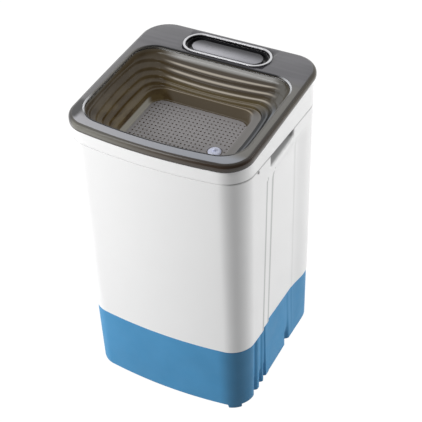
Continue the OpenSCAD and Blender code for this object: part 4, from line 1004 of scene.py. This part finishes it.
# %% [markdown]
# ## Chromed ring and feet
# The ring is a rounded band on a low wall round the control pit, so both are made of slot shapes.
# The feet show below the base as low blocks that follow its corners, so their outer edge is taken
# from the base's own loop, and their lower edges are bevelled.

# %% The chromed ring
BAND_R, BAND_RISE, BAND_SIDES = 6.4, 2.2, 14


def ring_loops():
    """Slot shapes that grow and shrink together with their height."""
    turns = [2 * math.pi * i / BAND_SIDES for i in range(BAND_SIDES)]
    widths = [RING_WIDTH - BAND_R + BAND_R * math.cos(t) for t in turns]
    return [pill(RING_LENGTH - RING_WIDTH + width, width, DECK_Z + 2.6 + BAND_RISE * math.sin(t))
            for width, t in zip(widths, turns)]


def ring_legs():
    """The upright wall under the ring, which stands in the deck."""
    bm = bmesh.new()
    prism(bm, pill(225.4, 75.4, DECK_Z - 3), (0, 0, 5))
    finish_mesh("ring_legs", bm, "lid", black, "chrome",
                cuts=[lambda tool: prism(tool, pill(221.4, 71.4, 800), (0, 0, 40))])


skin("chrome_band", ring_loops(), "lid", chrome, "chrome", "chrome_ring")
ring_legs()

# %% The feet
FOOT_TOP, FOOT_DEPTH = FOOT_H + 0.6, 28


def corner_feet():
    """Each foot follows the corner over it, from a little way along the front or the rear."""
    bm = bmesh.new()
    top = body_loop(-3, lambda y: FOOT_TOP)
    rear_right, front_left = len(SIDE), 2 * len(SIDE) + 2 * (CORNER + 1) + REAR
    rear_left = rear_right + CORNER + 1 + REAR
    front_right = front_left + CORNER + 1 + FRONT
    for first, last, inset in ((front_right + 1, front_right + 9, 0), (front_left + 9, front_left + 17, 7),
                               (rear_right + 4, rear_right + 19, 3), (rear_left - 2, rear_left + 13, 3)):
        out = [Vector(top[k]) for k in range(first, last)]
        middle = sum(out, Vector()) / len(out)
        away = Vector((middle.x, middle.y, 0)).normalized()
        ring = [p - away * inset for p in out] + [p - away * (inset + FOOT_DEPTH) for p in (out[-1], out[0])]
        prism(bm, ring, (0, 0, -FOOT_TOP))
    low = [e for e in bm.edges if all(v.co.z < 0.001 for v in e.verts)]
    bmesh.ops.bevel(bm, geom=low, offset=0.003, segments=4, profile=0.5, affect="EDGES", material=-1)
    finish_mesh("corner_feet", bm, "machine", blue, "blue_plastic", "feet")


corner_feet()

# %% [markdown]
# ## Scrubbing basin
# The basin hangs in the lid's mouth: a flared wall, four rounded ridges that swell inwards at mid
# length, a step and a recess with a flat floor. Ridges could be swept along the wall, but on the
# real moulding they grow out of it, so they are written into the profile that every loop follows.

# %% Skin the basin
RIM = [(0.005, 8, 0), (0.015, 12, 1), (0.03, 16, 4), (0.06, 19.5, 9), (0.09, 22, 14)]
RIDGES = [(0.13, 24, 1.0), (0.33, 36, 1.0), (0.52, 46, 0.9), (0.72, 54, 0.6)]
RIDGE = [(0, 0, 20), (0.02, 0.5, 20), (0.035, 1.8, 20), (0.045, 4, 19.4), (0.055, 6.4, 18.6),
         (0.075, 8, 17.4), (0.1, 8.6, 16)]
STEP_EDGE = [(0.93, 0.6, 2), (0.97, 0.3, 0), (0.99, -0.3, 0), (1.0, -1.6, 0), (1.005, -4, 0)]
RECESS = [(1.02, 8), (1.025, 4), (1.035, 1.6), (1.05, 0.4), (1.08, 0)]


def ridge_profile():
    """(share of the way in, depth, swell) down the basin's wall."""
    return RIM + [(u + further, d + down, swell * s) for u, d, s in RIDGES for further, down, swell in RIDGE]


def basin_loops():
    """The floor lies a little under the grey mat, so the two never share a plane."""
    floor = FLOOR_TOP - 0.4
    return ([basin_loop(u, DECK_Z - d, s) for u, d, s in ridge_profile()]
            + [basin_loop(u, STEP_Z + rise, s) for u, rise, s in STEP_EDGE]
            + [basin_loop(u, floor + rise) for u, rise in RECESS])


skin("basin_moulding", basin_loops(), "lid", smoke_basin, "smoke_plastic", "scrub_basin", cap=True)

# %% [markdown]
# ## Finishes of the solids that stay
# The solids that already have their final shape are kept as they are, so that they move and fit
# exactly as in the CAD model. Each of them only gets the finish of its material.

# %% Dress the solids
DRESS = {
    white: ["capacitor", "lint_filter"],
    blue: ["service_cover"],
    zinc: ["collar_screws"],
    dark_steel: ["cover_screws"],
    mat_grey: ["scrub_floor"],
    plug_white: ["basin_plug"],
    black: ["control_housing", "cord_gland"],
    silver: ["control_panel", "start_key", "program_key", "drain_key"],
    board_green: ["control_board"],
    tub_white: ["wash_tub"],
    pulsator_blue: ["pulsator"],
    rubber: ["tub_gasket", "shaft_seal", "drive_belt", "motor_grommets", "drain_hose"],
    steel: ["hinge_pins", "pulsator_shaft", "pulsator_screw", "pulley_nut", "motor_shaft", "motor_bracket",
            "drain_grille", "valve_spring"],
    alloy: ["shaft_housing", "drive_pulley", "motor_pulley"],
    brass: ["shaft_bushes"],
    motor_paint: ["motor", "drain_solenoid"],
    fitting: ["drain_valve_body", "drain_outlet"],
    valve_rubber: ["valve_plunger"],
}


def dress(node, finish):
    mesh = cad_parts[node].data
    for place in range(max(1, len(mesh.materials))):
        if place < len(mesh.materials):
            mesh.materials[place] = finish.material
        else:
            mesh.materials.append(finish.material)


for finish, names in DRESS.items():
    for name in names:
        dress(name, finish)
print("dressed:", sum(len(names) for names in DRESS.values()))

# %% [markdown]
# ## Floor, light and backdrop
# The machine stands on plain white. A white floor in full light would throw its own light back on
# the base, so the paper is grey to the lamps and white to the eye. Two large soft lamps light the
# front from the left and the side from the rear, and the rounded corner between them stays in
# shade. A small third one draws the highlights along the basin's ridges.

# %% Floor
FLOOR_HALF, GLOW, GLOW_SHARE = 9, 1.16, 0.85


def studio_floor():
    bm = bmesh.new()
    bmesh.ops.create_grid(bm, x_segments=1, y_segments=1, size=FLOOR_HALF)
    mesh = bpy.data.meshes.new("floor")
    bm.to_mesh(mesh)
    bm.free()
    floor = bpy.data.objects.new("floor", mesh)
    bpy.context.scene.collection.objects.link(floor)
    paper = Finish("paper", grey(0.42), 0.9)
    share = paper.rays("Camera", "Glossy", "Transmission") * GLOW_SHARE
    glow = paper.node("ShaderNodeEmission", Strength=GLOW)
    both = paper.node("ShaderNodeMixShader", share, Value(paper, paper.shader.outputs[0]), glow)
    paper.feed(paper.tree.nodes["Material Output"].inputs["Surface"], both)
    mesh.materials.append(paper.material)


studio_floor()

# %% World
AMBIENT = 0.30
BRIGHT_SIDE = (-0.45, 0.75, 0.48)


def studio_world():
    """Dim for diffuse light, white to the camera, and in reflections bright behind, dark in front."""
    world = bpy.data.worlds.new("studio")
    bpy.context.scene.world = world
    world.use_nodes = True
    sky = Recipe(world.node_tree)
    way = sky.node("ShaderNodeTexCoord", output="Generated")
    facing = sky.node("ShaderNodeVectorMath", way, BRIGHT_SIDE, settings=dict(operation="DOT_PRODUCT"),
                      output="Value")
    mirrored = sky.node("ShaderNodeMapRange", settings=dict(interpolation_type="SMOOTHSTEP"), Value=facing,
                        From_Min=-0.3, From_Max=0.7, To_Min=0.10, To_Max=1.0)
    total = (sky.rays("Camera", "Transmission") + sky.rays("Glossy") * mirrored
             + sky.rays("Diffuse") * AMBIENT)
    level = world.node_tree.nodes["Background"]
    sky.feed(level.inputs["Color"], (1, 1, 1, 1))
    sky.feed(level.inputs["Strength"], total)


studio_world()


# %% Lamps
def lamp(name, turn, rise, far, size, watts, target=(0, 0, 0.45), shines=False):
    """A soft lamp at a compass turn (0 is in front, 90 to the right) and a rise, in degrees."""
    turn, rise = math.radians(turn), math.radians(rise)
    aim = Vector((math.sin(turn) * math.cos(rise), -math.cos(turn) * math.cos(rise), math.sin(rise)))
    data = bpy.data.lights.new(name, "AREA")
    data.size, data.energy = size, watts
    light = bpy.data.objects.new(name, data)
    light.location = Vector(target) + aim * far
    light.rotation_mode = "QUATERNION"
    light.rotation_quaternion = aim.to_track_quat("Z", "Y")
    light.visible_glossy = shines
    bpy.context.scene.collection.objects.link(light)


lamp("front_lamp", -50, 24, 4.4, 1.8, 190)
lamp("side_lamp", 130, 18, 3.4, 1.4, 87)
lamp("ridge_lamp", -32, 44, 3.2, 1.1, 14, target=(0, 0, 0.78), shines=True)
print("lamps:", len(bpy.data.lights))

# %% [markdown]
# ## Finish
# The view shows the colours as they are given, and the scene is brought up to date.

# %% Set the view and update the scene
bpy.context.scene.view_settings.view_transform = "Standard"
bpy.context.view_layer.update()
